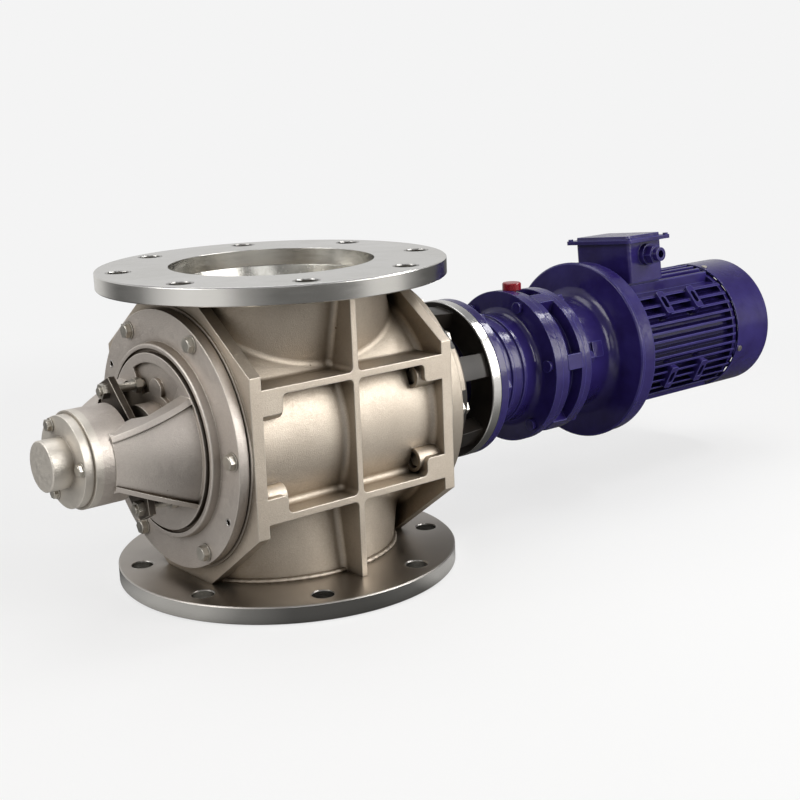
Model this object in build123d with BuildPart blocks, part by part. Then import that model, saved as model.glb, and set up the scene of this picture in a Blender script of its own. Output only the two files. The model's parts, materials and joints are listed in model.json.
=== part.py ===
"""Rotary feeder: a flanged drop-through valve with an eight-vane rotor, driven by a cycloidal geared motor.

Frame: X runs along the rotor axis towards the motor, Z is up, and the camera side is -Y.
The origin is the centre of the outlet flange's lower face. All sizes are in millimetres.
Angles round the rotor axis are counted from the front (-Y) upwards.
"""

import os
from math import atan2, cos, degrees, pi, radians, sin

from build123d import *

os.makedirs("parts", exist_ok=True)

# Connection flanges and overall height
face_to_face = 308.0
flange_outer = 340.0
flange_thick = 17.0
flange_margin = 22.5
flange_holes = 8
flange_hole = 22.0
flange_edge = 1.0
inlet_bore = 200.0
outlet_bore = 188.0

# Clearances
seat_gap = 0.05
running_gap = 0.05
rotor_gap = 0.3
bolt_gap = 0.5

# Valve body casting
chamber_r = 100.0
barrel_wall = 13.0
frame_out = 116.2
frame_thick = 11.8
frame_half_depth = 127.2
frame_side_half = 74.0
frame_top_half = 40.0
frame_ring = 2.3
frame_ring_r = 126.0
seam_fillet = 7.0
centre_fillet = 6.0
rib_fillet = 5.0
frame_fillet = 6.0
casting_lap = 2.0
rib_thick = 6.5
rib_half_height = 61.9
centre_rib_thick = 6.0
neck_wall = 7.0
neck_long = 134.0
neck_short = 90.0
outlet_neck_long = 112.0
outlet_neck_wall = 6.0
throat_long = 99.0
throat_short = 80.0
throat_level = 62.0
pad_width = 22.0
pad_height = 24.0
pad_depth = 12.0
pad_round = 5.0
boss_r = 12.0
boss_length = 26.0
boss_at_depth = 109.0
boss_at_height = 42.0
boss_hole_r = 8.5
boss_hole_depth = 9.0

# End covers
gasket = 1.0
cover_r = 123.7
spigot_length = 8.0
outboard_plate = 10.0
drive_plate = 14.5
cover_bolt_circle = 113.0
cover_bolts = 6
cover_bolt_r = 4.0
cover_bolt_flats = 13.0
cover_bolt_head = 6.0
cover_bolt_hole = 12.0
bolt_end_gap = 2.0
jack_circle = 115.0
jack_r = 3.0
jack_first = 149.0

# Outboard cover relief and yoke
rim_r = 92.5
rim_inner = 88.1
rim_height = 8.5
disc_r = 84.3
disc_height = 10.5
groove_depth = 4.0
panel_depth = 4.0
panel_inner = 47.0
panel_outer = 75.0
panel_first = 52.0
panel_sweep = 66.0
panel_pad_r = 11.0
panel_pad_circle = 50.0
panel_pad_angle = 86.0
yoke_foot_r = 80.0
yoke_mid_r = 68.5
yoke_end_r = 46.5
yoke_wall = 8.0
yoke_sweep = 96.0
yoke_foot_half = 52.5
yoke_end_half = 24.9
bead_width = 5.0
bead_proud = 3.0

# Stuffing box and gland
stuffing_boss_r = 38.0
stuffing_length = 18.0
packing_r = 26.0
packing_rings = 3
packing_ring = 8.0
packing_floor = 6.5
gland_nose = 10.0
gland_plate = 7.0
gland_hub_r = 32.0
gland_lug = 10.0
gland_stud_circle = 57.0
gland_tilt = 26.0
gland_stud_r = 4.0
gland_stud_hole = 12.0
gland_nut_flats = 13.0
gland_nut = 6.5

# Outboard bearing housing and cap
housing_reach = 87.0
housing_length = 39.0
yoke_lap = 20.0
housing_r = 45.7
housing_lip_r = 28.0
cap_r = 42.7
cap_plate = 9.2
cap_hub_r = 23.5
cap_hub = 20.8
cap_cavity_r = 26.0
cap_wall = 4.0
cap_bolts = 3
cap_bolt_circle = 36.5
cap_bolt_r = 3.0
cap_bolt_flats = 10.0
cap_bolt_head = 4.5
cap_bolt_hole = 10.0

# Rotor bearings
bearing_bore_r = 15.0
bearing_outer_r = 31.0
bearing_width = 16.0
bearing_ring = 4.6
balls = 8
outboard_bearing_depth = 8.0
drive_bearing_depth = 12.0

# Rotor and its shaft
rotor_vanes = 8
vane_thick = 6.0
vane_tip_thick = 3.0
vane_tip = 7.0
rotor_hub_r = 27.0
shaft_hub_r = 20.0
shaft_seal_r = 17.5
shaft_tail = 7.0
circlip_r = 19.0
circlip_thick = 1.75
circlip_groove = 1.2

# Drive end cover and lantern
drum_r = 84.0
drum_length = 34.0
drum_pocket_outer = 66.0
drum_pocket_inner = 42.0
drum_pocket_wall = 6.0
drive_arms = 6
arm_first = 20.0
foot_r = 97.0
foot_sweep = 26.0
seal_wall = 3.0
seal_width = 8.0
lantern_base = 7.0
lantern_hole_r = 20.0
lantern_length = 34.7
lantern_disc = 12.7
lantern_disc_r = 86.4
lantern_bore_r = 52.0
arm_sweep = 18.0
arm_outer = 84.0
arm_depth = 18.0
arm_draft = 3.0
lantern_screw_circle = 75.0
lantern_screw_first = -10.0
lantern_screw_r = 4.0
lantern_screw_flats = 13.0
lantern_screw_head = 5.5
lantern_screw_hole = 16.0
coupling_r = 27.0
coupling_room = 3.0
coupling_length = 40.0
coupling_step = 3.0

# Gearbox output housing
gear_flange = 10.0
gear_flange_r = 86.2
gear_bolt_circle = 77.0
gear_bolts = 6
gear_bolt_r = 4.0
gear_bolt_flats = 13.0
gear_bolt_head = 6.5
gear_bolt_hole = 10.0
gear_barrel_r = 60.0
gear_barrel_bore = 52.0
band_r = 62.5
band_width = 7.0
band_offsets = (31.6, 48.6)
gear_barrel = 72.1
disc_a = 11.0
disc_a_r = 85.5
disc_a_flare = 8.0
output_shaft_r = 15.0
output_journal_r = 22.5
output_bearing_r = 40.0
output_bearing_width = 16.0
output_bearing_front = 11.6
output_bearing_back = 24.5
output_seal_width = 8.0
output_flange_r = 42.0
output_flange = 9.0
output_pins = 6
output_pin_r = 4.0
output_pin_circle = 32.0

# Cycloid stage
lobes = 29
cam_throw = 1.1
ring_pin_circle = 52.0
ring_pin_r = 3.2
lobe_gap = 0.3
points_per_lobe = 6
cycloid_thick = 12.0
cam_r = 20.0
ring_ledge_r = 82.5
ring_front = 12.2
ring_groove = 20.1
ring_back = 6.4
ring_groove_r = 68.0
lug_first = 8.0
lug_width = 17.0
lug_r = 83.0
through_bolts = 6
through_circle = 75.5
through_r = 4.0
through_flats = 13.0
through_nut = 6.0
through_head_r = 6.5
through_head = 4.5

# Motor adapter
adapter_flange = 8.7
adapter_flange_r = 82.5
adapter_barrel_r = 62.0
adapter_bore_r = 48.0
adapter_flare = 14.0
adapter_barrel = 60.8
disc_b = 23.6
disc_b_r = 103.5
disc_b_step = 5.0
disc_b_step_depth = 1.6
pad_window = 16.0
pad_window_angle = 13.0
pad_window_offset = 31.1
pad_window_proud = 3.0

# Motor
motor_shell_r = 66.0
motor_bore_r = 58.0
motor_fin_r = 78.0
motor_length = 178.7
motor_ring = 8.0
fin_thick = 2.6
fin_pitch = 9.8
side_fins = 13
floor_fins = 7
lug_plate = 12.0
lug_height = 30.0
lug_depth = 18.0
lug_slot_long = 16.0
lug_slot_wide = 7.0
upper_lug_angle = 40.0
lower_lug_angle = -27.0
lug_offsets = (63.7, 117.7)
stator_length = 90.0
stator_bore_r = 36.0
stator_offset = 34.7
winding_overhang = 18.0
winding_r = 52.0
armature_gap = 0.5
motor_shaft_r = 12.0
armature_shaft_r = 15.0
motor_bearing_r = 23.5
motor_bearing_width = 14.0
shield_thick = 8.0
shield_hub = 10.0
shield_hub_wall = 6.0
shield_r = 74.0
ear_root = 4.0
ear_length = 8.0
ear_sweep = 12.0
fan_room = 6.0
fan_depth = 22.0
fan_hub_r = 18.0
fan_r = 64.0
fan_blades = 7
fan_blade = 2.5
fan_plate = 3.0
cowl_lap = 5.0
cowl_length = 61.6
cowl_r = 78.2
cowl_wall = 1.8
cowl_screws = 4
cowl_screw_first = -15.0
grille_rings = (66.0, 54.0, 42.0, 30.0, 18.0)
grille_slot = 6.0
grille_spokes = 6
grille_spoke = 7.0

# Terminal box
box_offset = 62.7
box_length = 58.0
box_width = 84.0
box_lean = 5.0
box_rise = 72.0
box_height = 47.5
box_wall = 4.0
saddle_step = 6.0
box_round = 4.0
lid_length = 74.0
lid_width = 102.0
lid_plate = 4.5
lid_rise = 3.5
lid_taper = 8.0
lid_screw_r = 3.0
lid_screw_head = 2.0
lid_screw_margin = 4.5
gland_drop = 16.0
gland_boss_r = 12.5
gland_boss = 7.0
gland_hex_flats = 20.0
gland_hex = 10.0
gland_nose_r = 8.0
gland_nose_length = 7.0
cable_bore_r = 4.5

# Oil fittings
breather_cap_r = 10.5
breather_cap = 8.0
breather_stem_r = 5.0
drain_flats = 10.0
drain_head = 6.0
drain_r = 5.0

# Values that follow from those above
axis_height = face_to_face / 2
flange_pcd = flange_outer - 2 * flange_margin
barrel_r = chamber_r + barrel_wall
frame_in = frame_out - frame_thick
cover_seat = frame_out + frame_ring + gasket
outboard_face = cover_seat + outboard_plate
drive_face = cover_seat + drive_plate
rotor_half = cover_seat - spigot_length
rotor_r = chamber_r - rotor_gap
throat_top = face_to_face - flange_thick
disc_face = outboard_face + disc_height
yoke_foot = disc_face - 2
stuffing_end = disc_face + stuffing_length
packing_start = rotor_half + packing_floor
housing_front = disc_face + housing_reach
housing_back = housing_front - housing_length
yoke_start = housing_back + yoke_lap
outboard_bearing_x = outboard_bearing_depth - housing_front
drive_bearing_x = drive_face + drive_bearing_depth
drum_end = drive_face + drum_length
seal_x = rotor_half + seal_wall
lantern_foot = drum_end + lantern_base
lantern_disc_x = lantern_foot + lantern_length
coupling_start = lantern_foot + coupling_room
gear_face = lantern_disc_x + lantern_disc
gear_flange_back = gear_face + gear_flange
disc_a_x = gear_flange_back + gear_barrel
output_bearing_places = (gear_flange_back + output_bearing_front, disc_a_x - output_bearing_back)
ring_x = disc_a_x + disc_a
breather_x = ring_x + ring_front / 2
groove_x = ring_x + ring_front
ring_back_x = groove_x + ring_groove
adapter_x = ring_back_x + ring_back
adapter_barrel_x = adapter_x + adapter_flange
disc_b_x = adapter_barrel_x + adapter_barrel
motor_x = disc_b_x + disc_b
motor_end_x = motor_x + motor_length
shield_back_x = motor_end_x + shield_thick
fan_x = shield_back_x + fan_room
cowl_start = motor_end_x + cowl_lap
cowl_end = cowl_start + cowl_length
stator_start = motor_x + stator_offset
box_x = motor_x + box_offset
box_top = box_rise + box_height
gland_level = box_top - gland_drop
cycloid_x = groove_x + (ring_groove - cycloid_thick) / 2
rotor_axis = Axis((0, 0, axis_height), (1, 0, 0))


def station(x):
    """Plane across the rotor axis at x: local x is +Y, local y is +Z, normal is +X."""
    return Plane(origin=(x, 0, axis_height), x_dir=(0, 1, 0), z_dir=(1, 0, 0))


def radial_plane(angle):
    """Plane through the rotor axis: local x is +X and local y points outwards at the angle."""
    turned = radians(angle)
    return Plane(origin=(0, 0, axis_height), x_dir=(1, 0, 0), z_dir=(0, -sin(turned), -cos(turned)))


def outward_plane(angle, x, radius):
    """Plane facing outwards from the rotor axis: local x is +X, normal is radial at the angle."""
    turned = radians(angle)
    outward = (0, -cos(turned), sin(turned))
    foot = (x, outward[1] * radius, axis_height + outward[2] * radius)
    return Plane(origin=foot, x_dir=(1, 0, 0), z_dir=outward)


def box_level(level):
    """Plane over the rotor axis, leaned back like the terminal box: local x is +X, normal is up."""
    lean = radians(box_lean)
    foot = (0, sin(lean) * level, axis_height + cos(lean) * level)
    return Plane(origin=foot, x_dir=(1, 0, 0), z_dir=(0, sin(lean), cos(lean)))


def box_front(depth):
    """Plane before the rotor axis, parallel to the terminal box's front: local y is up."""
    lean = radians(box_lean)
    foot = (0, -cos(lean) * depth, axis_height + sin(lean) * depth)
    return Plane(origin=foot, x_dir=(1, 0, 0), z_dir=(0, -cos(lean), sin(lean)))


def around(radius, count, first=0.0):
    """Places round the rotor axis on a station plane, the first at an angle up from the front."""
    return PolarLocations(radius, count, start_angle=180 - first)


def turn(*corners, first=0.0, sweep=360.0, mode=Mode.ADD):
    """Revolve a profile of (x, radius) corners about the rotor axis, downwards from an angle."""
    with BuildSketch(radial_plane(first)) as profile:
        with BuildLine():
            Polyline(*corners, close=True)
        make_face()
    revolve(profile.sketch, axis=rotor_axis, revolution_arc=sweep, mode=mode)


def ring(start, end, outer, inner=0.0, mode=Mode.ADD):
    """Disc or ring about the rotor axis between two stations."""
    with BuildSketch(station(start)) as profile:
        Circle(outer)
        if inner > 0:
            Circle(inner, mode=Mode.SUBTRACT)
    extrude(profile.sketch, amount=end - start, mode=mode)


def corner_ring(wall_x, way, near_r, size):
    """Concave cast fillet round the rotor axis, in the corner of a cylinder and a wall across it."""
    with BuildSketch(radial_plane(0)) as section:
        with BuildLine():
            blend = TangentArc(
                (wall_x + way * size, near_r), (wall_x, near_r + size), tangent=(-way, 0)
            )
            Polyline(
                blend @ 1,
                (wall_x - way, near_r + size),
                (wall_x - way, near_r - 1),
                (wall_x + way * size, near_r - 1),
                blend @ 0,
            )
        make_face()
    revolve(section.sketch, axis=rotor_axis)


def drill(start, end, radius, circle, count, first=0.0):
    """Holes parallel to the rotor axis on a bolt circle."""
    with BuildSketch(station(start)) as holes:
        with around(circle, count, first):
            Circle(radius)
    extrude(holes.sketch, amount=end - start, mode=Mode.SUBTRACT)


def hex_set(seat, way, circle, count, first, flats, head, shank_r, reach):
    """Hexagon heads standing on a seat plane, way +1 or -1 along X, with shanks behind them."""
    with BuildSketch(station(seat)) as heads:
        with around(circle, count, first):
            RegularPolygon(flats / 2, 6, major_radius=False)
    extrude(heads.sketch, amount=way * head)
    if reach > 0:
        with BuildSketch(station(seat)) as shanks:
            with around(circle, count, first):
                Circle(shank_r)
        extrude(shanks.sketch, amount=-way * reach)


def finish(piece, name):
    """Label a finished piece and write it as a STEP file of that name."""
    piece.part.label = name
    export_step(piece.part, f"parts/{name}.step")


def ellipse_at(level, long_r, short_r):
    """Ellipse on a level plane, long axis along the rotor."""
    with BuildSketch(Plane.XY.offset(level)) as outline:
        Ellipse(long_r, short_r)
    return outline.sketch


def throat(near_level, near_long, near_short, far_level, far_long, far_short):
    """Loft between two level ellipses, as one solid."""
    near = ellipse_at(near_level, near_long, near_short)
    far = ellipse_at(far_level, far_long, far_short)
    return loft(Sketch() + [near, far])


# Solids that shape the inlet and outlet passages
upper_throat = axis_height + throat_level
lower_throat = axis_height - throat_level
inlet_r = inlet_bore / 2
outlet_r = outlet_bore / 2
inlet_skin = throat(throat_top, inlet_r + neck_wall, inlet_r + neck_wall, upper_throat, neck_long, neck_short)
outlet_skin = throat(
    flange_thick, outlet_neck_long, outlet_r + outlet_neck_wall, lower_throat, neck_long, neck_short
)
inlet_void = throat(throat_top, inlet_r, inlet_r, upper_throat, throat_long, throat_short)
outlet_void = throat(flange_thick, outlet_r, outlet_r, lower_throat, throat_long, throat_short)

# Valve body: barrel, two necks, octagonal end frames, crossed ribs and corner pads, with cast fillets
frame_outline = [
    (side * depth, level * height)
    for side, level in ((1, 1), (-1, 1), (-1, -1), (1, -1))
    for depth, height in (
        (frame_half_depth, frame_side_half),
        (frame_top_half, throat_top - axis_height),
    )[:: side * level]
]
core_half = frame_in + casting_lap
pad_edge = frame_in - pad_width

with BuildPart() as valve_body:
    ring(-core_half, core_half, barrel_r)
    with BuildPart(mode=Mode.PRIVATE) as necks:
        add(inlet_skin)
        add(outlet_skin)
        with Locations((0, 0, axis_height)):
            Box(2 * core_half, 2 * frame_half_depth, face_to_face, mode=Mode.INTERSECT)
    add(necks.part)
    seams = [
        edge
        for edge in edges()
        if abs(edge.center().Z - axis_height) < barrel_r - 2
        and edge.geom_type not in (GeomType.LINE, GeomType.CIRCLE, GeomType.ELLIPSE)
    ]
    fillet(seams, seam_fillet)
    with Locations((0, 0, axis_height)):
        Box(centre_rib_thick, 2 * frame_half_depth, face_to_face - 2 * flange_thick)
    fillet(edges(Select.NEW), centre_fillet)
    rib_level = rib_half_height - rib_thick / 2
    with Locations((0, 0, axis_height + rib_level), (0, 0, axis_height - rib_level)):
        Box(2 * core_half, 2 * frame_half_depth, rib_thick)
    fillet(edges(Select.NEW), rib_fillet)
    for end in (1, -1):
        with BuildSketch(station(end * frame_in)) as frame_face:
            Polygon(*frame_outline, align=None)
        extrude(frame_face.sketch, amount=end * frame_thick)
        ring(end * core_half, end * (frame_out + frame_ring), frame_ring_r)
        corner_ring(end * frame_in, -end, barrel_r, frame_fillet)
        with BuildSketch(station(end * frame_in)) as bosses:
            for side in (1, -1):
                with Locations(
                    (side * boss_at_depth, boss_at_height), (side * boss_at_depth, -boss_at_height)
                ):
                    Circle(boss_r)
        extrude(bosses.sketch, amount=-end * boss_length)
    for side in (1, -1):
        pad_plane = Plane(
            origin=(0, side * (frame_half_depth - pad_depth), axis_height),
            x_dir=(1, 0, 0),
            z_dir=(0, side, 0),
        )
        with BuildSketch(pad_plane) as corner_pads:
            for end, level in ((1, 1), (1, -1), (-1, 1), (-1, -1)):
                Polygon(
                    (end * core_half, level * rib_half_height),
                    (end * (pad_edge - 2 * pad_round), level * rib_half_height),
                    (end * (pad_edge - 2 * pad_round), level * (rib_half_height - rib_thick)),
                    (end * pad_edge, level * (rib_half_height - rib_thick)),
                    (end * pad_edge, level * (rib_half_height - pad_height)),
                    (end * core_half, level * (rib_half_height - pad_height)),
                    align=None,
                )
            fillet([corner for corner in vertices() if abs(abs(corner.X) - pad_edge) < 0.01], pad_round)
        extrude(corner_pads.sketch, amount=pad_depth)
    for end in (1, -1):
        with BuildSketch(station(end * (frame_in - boss_length))) as pockets:
            for side in (1, -1):
                with Locations(
                    (side * boss_at_depth, boss_at_height), (side * boss_at_depth, -boss_at_height)
                ):
                    Circle(boss_hole_r)
        extrude(pockets.sketch, amount=end * boss_hole_depth, mode=Mode.SUBTRACT)
    ring(-cover_seat, cover_seat, chamber_r, mode=Mode.SUBTRACT)
    add(inlet_void, mode=Mode.SUBTRACT)
    add(outlet_void, mode=Mode.SUBTRACT)
    for end in (1, -1):
        seat = end * (frame_out + frame_ring)
        drill(seat, seat - end * cover_bolt_hole, cover_bolt_r + seat_gap, cover_bolt_circle, cover_bolts)
finish(valve_body, "valve_body")

# Inlet and outlet flanges, welded to the necks
flange_turn = 360 / flange_holes / 2


def pipe_flange(level, bore):
    """Drilled ring flange whose lower face is at a level, holes astride the rotor axis."""
    with BuildSketch(Plane.XY.offset(level)) as face:
        Circle(flange_outer / 2)
        Circle(bore / 2, mode=Mode.SUBTRACT)
        with PolarLocations(flange_pcd / 2, flange_holes, start_angle=flange_turn):
            Circle(flange_hole / 2, mode=Mode.SUBTRACT)
    extrude(face.sketch, amount=flange_thick)
    rim = edges().filter_by(GeomType.CIRCLE).sort_by(lambda edge: edge.radius)[-2:]
    chamfer(rim, flange_edge)


with BuildPart() as inlet_flange:
    pipe_flange(throat_top, inlet_bore)
finish(inlet_flange, "inlet_flange")

with BuildPart() as outlet_flange:
    pipe_flange(0, outlet_bore)
finish(outlet_flange, "outlet_flange")

# Screws in the four boss pockets on each side of the body
with BuildPart() as boss_screws:
    for end in (1, -1):
        floor = end * (frame_in - boss_length + boss_hole_depth)
        with BuildSketch(station(floor)) as screw_heads:
            for side in (1, -1):
                with Locations(
                    (side * boss_at_depth, boss_at_height), (side * boss_at_depth, -boss_at_height)
                ):
                    RegularPolygon(lantern_screw_flats / 2, 6, major_radius=False)
        extrude(screw_heads.sketch, amount=-end * lantern_screw_head)
finish(boss_screws, "boss_screws")

# Gaskets between the covers and the body
for side_name, end in (("outboard", -1), ("drive", 1)):
    with BuildPart() as cover_gasket:
        ring(end * (cover_seat - gasket), end * cover_seat, cover_r - 1, chamber_r + 1)
        drill(
            end * (cover_seat - gasket), end * cover_seat, cover_bolt_r + bolt_gap, cover_bolt_circle, cover_bolts
        )
    finish(cover_gasket, f"{side_name}_cover_gasket")

# Outboard end cover: plate, raised rim, yoke disc, stuffing box, two yoke wings and bearing housing
spigot_r = chamber_r - seat_gap
cap_hole_end = cap_bolt_hole - housing_front
side_plane = Plane(origin=(0, 0, axis_height), x_dir=(1, 0, 0), z_dir=(0, -1, 0))


def wings(extra, near, far):
    """Both yoke wings between two distances in from their straight edges, extra proud of the web."""
    with BuildPart(mode=Mode.PRIVATE) as shells:
        for side_angle in (0, 180):
            with BuildSketch(radial_plane(side_angle + yoke_sweep / 2)) as section:
                with BuildLine():
                    middle = (yoke_foot + yoke_start) / 2
                    outer_arc = ThreePointArc(
                        (-yoke_foot, yoke_foot_r + extra),
                        (-middle, yoke_mid_r + extra),
                        (-yoke_start, yoke_end_r + extra / 2),
                    )
                    Polyline(
                        outer_arc @ 1,
                        (-yoke_start, housing_r - yoke_wall / 2),
                        (-housing_back, housing_r - yoke_wall),
                        (-middle, yoke_mid_r - yoke_wall),
                        (-yoke_foot, yoke_foot_r - yoke_wall),
                        outer_arc @ 0,
                    )
                make_face()
            revolve(section.sketch, axis=rotor_axis, revolution_arc=yoke_sweep)
        with BuildSketch(side_plane) as outline:
            for level in (1, -1):
                Polygon(
                    (-yoke_foot, level * (yoke_foot_half - near)),
                    (-yoke_start, level * (yoke_end_half - near)),
                    (-yoke_start, level * (yoke_end_half - far)),
                    (-yoke_foot, level * (yoke_foot_half - far)),
                    align=None,
                )
        extrude(outline.sketch, amount=cover_r, both=True, mode=Mode.INTERSECT)
    return shells.part


with BuildPart() as outboard_end_cover:
    turn(
        (-rotor_half, shaft_seal_r + bolt_gap),
        (-rotor_half, spigot_r),
        (-cover_seat, spigot_r),
        (-cover_seat, cover_r),
        (-outboard_face, cover_r),
        (-outboard_face, rim_r + 1),
        (-outboard_face - rim_height + 1, rim_r),
        (-outboard_face - rim_height, rim_r - 1),
        (-outboard_face - rim_height, rim_inner),
        (-outboard_face - rim_height + groove_depth, rim_inner),
        (-outboard_face - rim_height + groove_depth, disc_r),
        (-disc_face, disc_r),
        (-disc_face, stuffing_boss_r),
        (-stuffing_end, stuffing_boss_r),
        (-stuffing_end, packing_r),
        (-packing_start, packing_r),
        (-packing_start, shaft_seal_r + bolt_gap),
    )
    turn(
        (-disc_face, panel_inner),
        (-disc_face, panel_outer),
        (-disc_face + panel_depth, panel_outer),
        (-disc_face + panel_depth, panel_inner),
        first=panel_first + panel_sweep,
        sweep=panel_sweep,
        mode=Mode.SUBTRACT,
    )
    with BuildSketch(station(-disc_face)) as panel_pad:
        with around(panel_pad_circle, 1, panel_pad_angle):
            Circle(panel_pad_r)
    extrude(panel_pad.sketch, amount=panel_depth)
    add(wings(0, 0, yoke_foot_half))
    add(wings(bead_proud, 0, bead_width))
    turn(
        (-housing_front, bearing_outer_r + seat_gap),
        (-housing_front, housing_r),
        (-housing_back, housing_r),
        (-housing_back, housing_lip_r),
        (outboard_bearing_x + bearing_width, housing_lip_r),
        (outboard_bearing_x + bearing_width, bearing_outer_r + seat_gap),
    )
    ring(-housing_front, outboard_bearing_x + bearing_width, bearing_outer_r + seat_gap, mode=Mode.SUBTRACT)
    drill(-outboard_face, -cover_seat, cover_bolt_r + bolt_gap, cover_bolt_circle, cover_bolts)
    drill(-outboard_face, -cover_seat, jack_r, jack_circle, 2, jack_first)
    drill(-housing_front, cap_hole_end, cap_bolt_r + seat_gap, cap_bolt_circle, cap_bolts)
    drill(
        -disc_face,
        gland_stud_hole - disc_face,
        gland_stud_r + seat_gap,
        gland_stud_circle,
        2,
        90 + gland_tilt,
    )
finish(outboard_end_cover, "outboard_end_cover")

# Drive end cover: plate, spigot, seal and bearing seats, drum and six cast feet
with BuildPart() as drive_end_cover:
    turn(
        (rotor_half, shaft_seal_r + bolt_gap),
        (rotor_half, spigot_r),
        (cover_seat, spigot_r),
        (cover_seat, cover_r),
        (drive_face, cover_r),
        (drive_face, drum_r),
        (drum_end, drum_r),
        (drum_end, drum_pocket_outer),
        (drive_face + drum_pocket_wall, drum_pocket_outer),
        (drive_face + drum_pocket_wall, drum_pocket_inner),
        (drum_end, drum_pocket_inner),
        (drum_end, bearing_outer_r + seat_gap),
        (drive_bearing_x, bearing_outer_r + seat_gap),
        (drive_bearing_x, packing_r),
        (seal_x, packing_r),
        (seal_x, shaft_seal_r + bolt_gap),
    )
    for arm in range(drive_arms):
        turn(
            (drive_face - 1, drum_r - 2),
            (drive_face - 1, foot_r),
            (drum_end - 6, foot_r),
            (drum_end, foot_r - 6),
            (drum_end, drum_r - 2),
            first=arm_first + foot_sweep / 2 + arm * 360 / drive_arms,
            sweep=foot_sweep,
        )
    drill(drive_face, cover_seat, cover_bolt_r + bolt_gap, cover_bolt_circle, cover_bolts)
    drill(
        drum_end,
        drum_end - lantern_screw_hole,
        lantern_screw_r + seat_gap,
        lantern_screw_circle,
        drive_arms,
        lantern_screw_first,
    )
finish(drive_end_cover, "drive_end_cover")

# Hexagon bolts that hold the end covers
with BuildPart() as outboard_cover_bolts:
    hex_set(
        -outboard_face, -1, cover_bolt_circle, cover_bolts, 0,
        cover_bolt_flats, cover_bolt_head, cover_bolt_r, outboard_plate + gasket + cover_bolt_hole - bolt_end_gap,
    )
finish(outboard_cover_bolts, "outboard_cover_bolts")

with BuildPart() as drive_cover_bolts:
    hex_set(
        drive_face, 1, cover_bolt_circle, cover_bolts, 0,
        cover_bolt_flats, cover_bolt_head, cover_bolt_r, drive_plate + gasket + cover_bolt_hole - bolt_end_gap,
    )
finish(drive_cover_bolts, "drive_cover_bolts")

# Shaft packing and its gland
with BuildPart() as shaft_packing:
    for index in range(packing_rings):
        packing_x = -packing_start - index * packing_ring
        ring(
            packing_x - packing_ring + seat_gap, packing_x, packing_r - seat_gap, shaft_seal_r + running_gap
        )
finish(shaft_packing, "shaft_packing")

nose_x = packing_start + packing_rings * packing_ring
gland_face = stuffing_end + gland_nose
with BuildPart() as packing_gland:
    ring(-nose_x, -gland_face, packing_r - 2 * seat_gap, shaft_seal_r + bolt_gap)
    gland_plane = Plane(
        origin=(-gland_face, 0, axis_height),
        x_dir=(0, sin(radians(gland_tilt)), cos(radians(gland_tilt))),
        z_dir=(-1, 0, 0),
    )
    with BuildSketch(gland_plane) as gland_outline:
        Circle(gland_hub_r)
        Rectangle(2 * (gland_stud_circle + gland_lug), 2 * gland_lug)
        make_hull()
        with Locations((gland_stud_circle, 0), (-gland_stud_circle, 0)):
            Circle(gland_stud_r + bolt_gap, mode=Mode.SUBTRACT)
        Circle(shaft_seal_r + bolt_gap, mode=Mode.SUBTRACT)
    extrude(gland_outline.sketch, amount=gland_plate)
finish(packing_gland, "packing_gland")

with BuildPart() as gland_studs:
    stud_end = gland_face + gland_plate + gland_nut + bolt_end_gap
    with BuildSketch(station(-stud_end)) as studs:
        with around(gland_stud_circle, 2, 90 + gland_tilt):
            Circle(gland_stud_r)
    extrude(studs.sketch, amount=stud_end - disc_face + gland_stud_hole - bolt_end_gap)
    hex_set(
        -gland_face - gland_plate, -1, gland_stud_circle, 2, 90 + gland_tilt,
        gland_nut_flats, gland_nut, gland_stud_r, 0,
    )
    hex_set(
        -disc_face, -1, gland_stud_circle, 2, 90 + gland_tilt, gland_nut_flats, gland_nut, gland_stud_r, 0
    )
finish(gland_studs, "gland_studs")

# Drive side lip seal
with BuildPart() as drive_shaft_seal:
    turn(
        (seal_x, packing_r - seat_gap),
        (seal_x + seal_width, packing_r - seat_gap),
        (seal_x + seal_width, packing_r - 2),
        (seal_x + 1.5, packing_r - 2),
        (seal_x + 1.5, shaft_seal_r + 3),
        (seal_x + 5, shaft_seal_r + running_gap),
        (seal_x + 3, shaft_seal_r + running_gap),
        (seal_x, shaft_seal_r + 2),
    )
finish(drive_shaft_seal, "drive_shaft_seal")

# Bearing cap with its hub, and its screws
cap_face = housing_front + cap_plate
with BuildPart() as bearing_cap:
    turn(
        (-cap_face - cap_hub, 0),
        (-cap_face - cap_hub, cap_hub_r - 0.8),
        (-cap_face - cap_hub + 0.8, cap_hub_r),
        (-cap_face, cap_hub_r),
        (-cap_face, cap_r),
        (-housing_front, cap_r),
        (-housing_front, bearing_outer_r - seat_gap),
        (outboard_bearing_x, bearing_outer_r - seat_gap),
        (outboard_bearing_x, cap_cavity_r),
        (-cap_face + cap_wall, cap_cavity_r),
        (-cap_face + cap_wall, cap_hub_r - cap_wall),
        (-cap_face - cap_hub + cap_wall, cap_hub_r - cap_wall),
        (-cap_face - cap_hub + cap_wall, 0),
    )
    drill(-cap_face, -housing_front, cap_bolt_r + bolt_gap, cap_bolt_circle, cap_bolts)
finish(bearing_cap, "bearing_cap")

with BuildPart() as cap_screws:
    hex_set(
        -cap_face, -1, cap_bolt_circle, cap_bolts, 0,
        cap_bolt_flats, cap_bolt_head, cap_bolt_r, cap_plate + cap_bolt_hole - bolt_end_gap,
    )
finish(cap_screws, "cap_screws")


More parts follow.
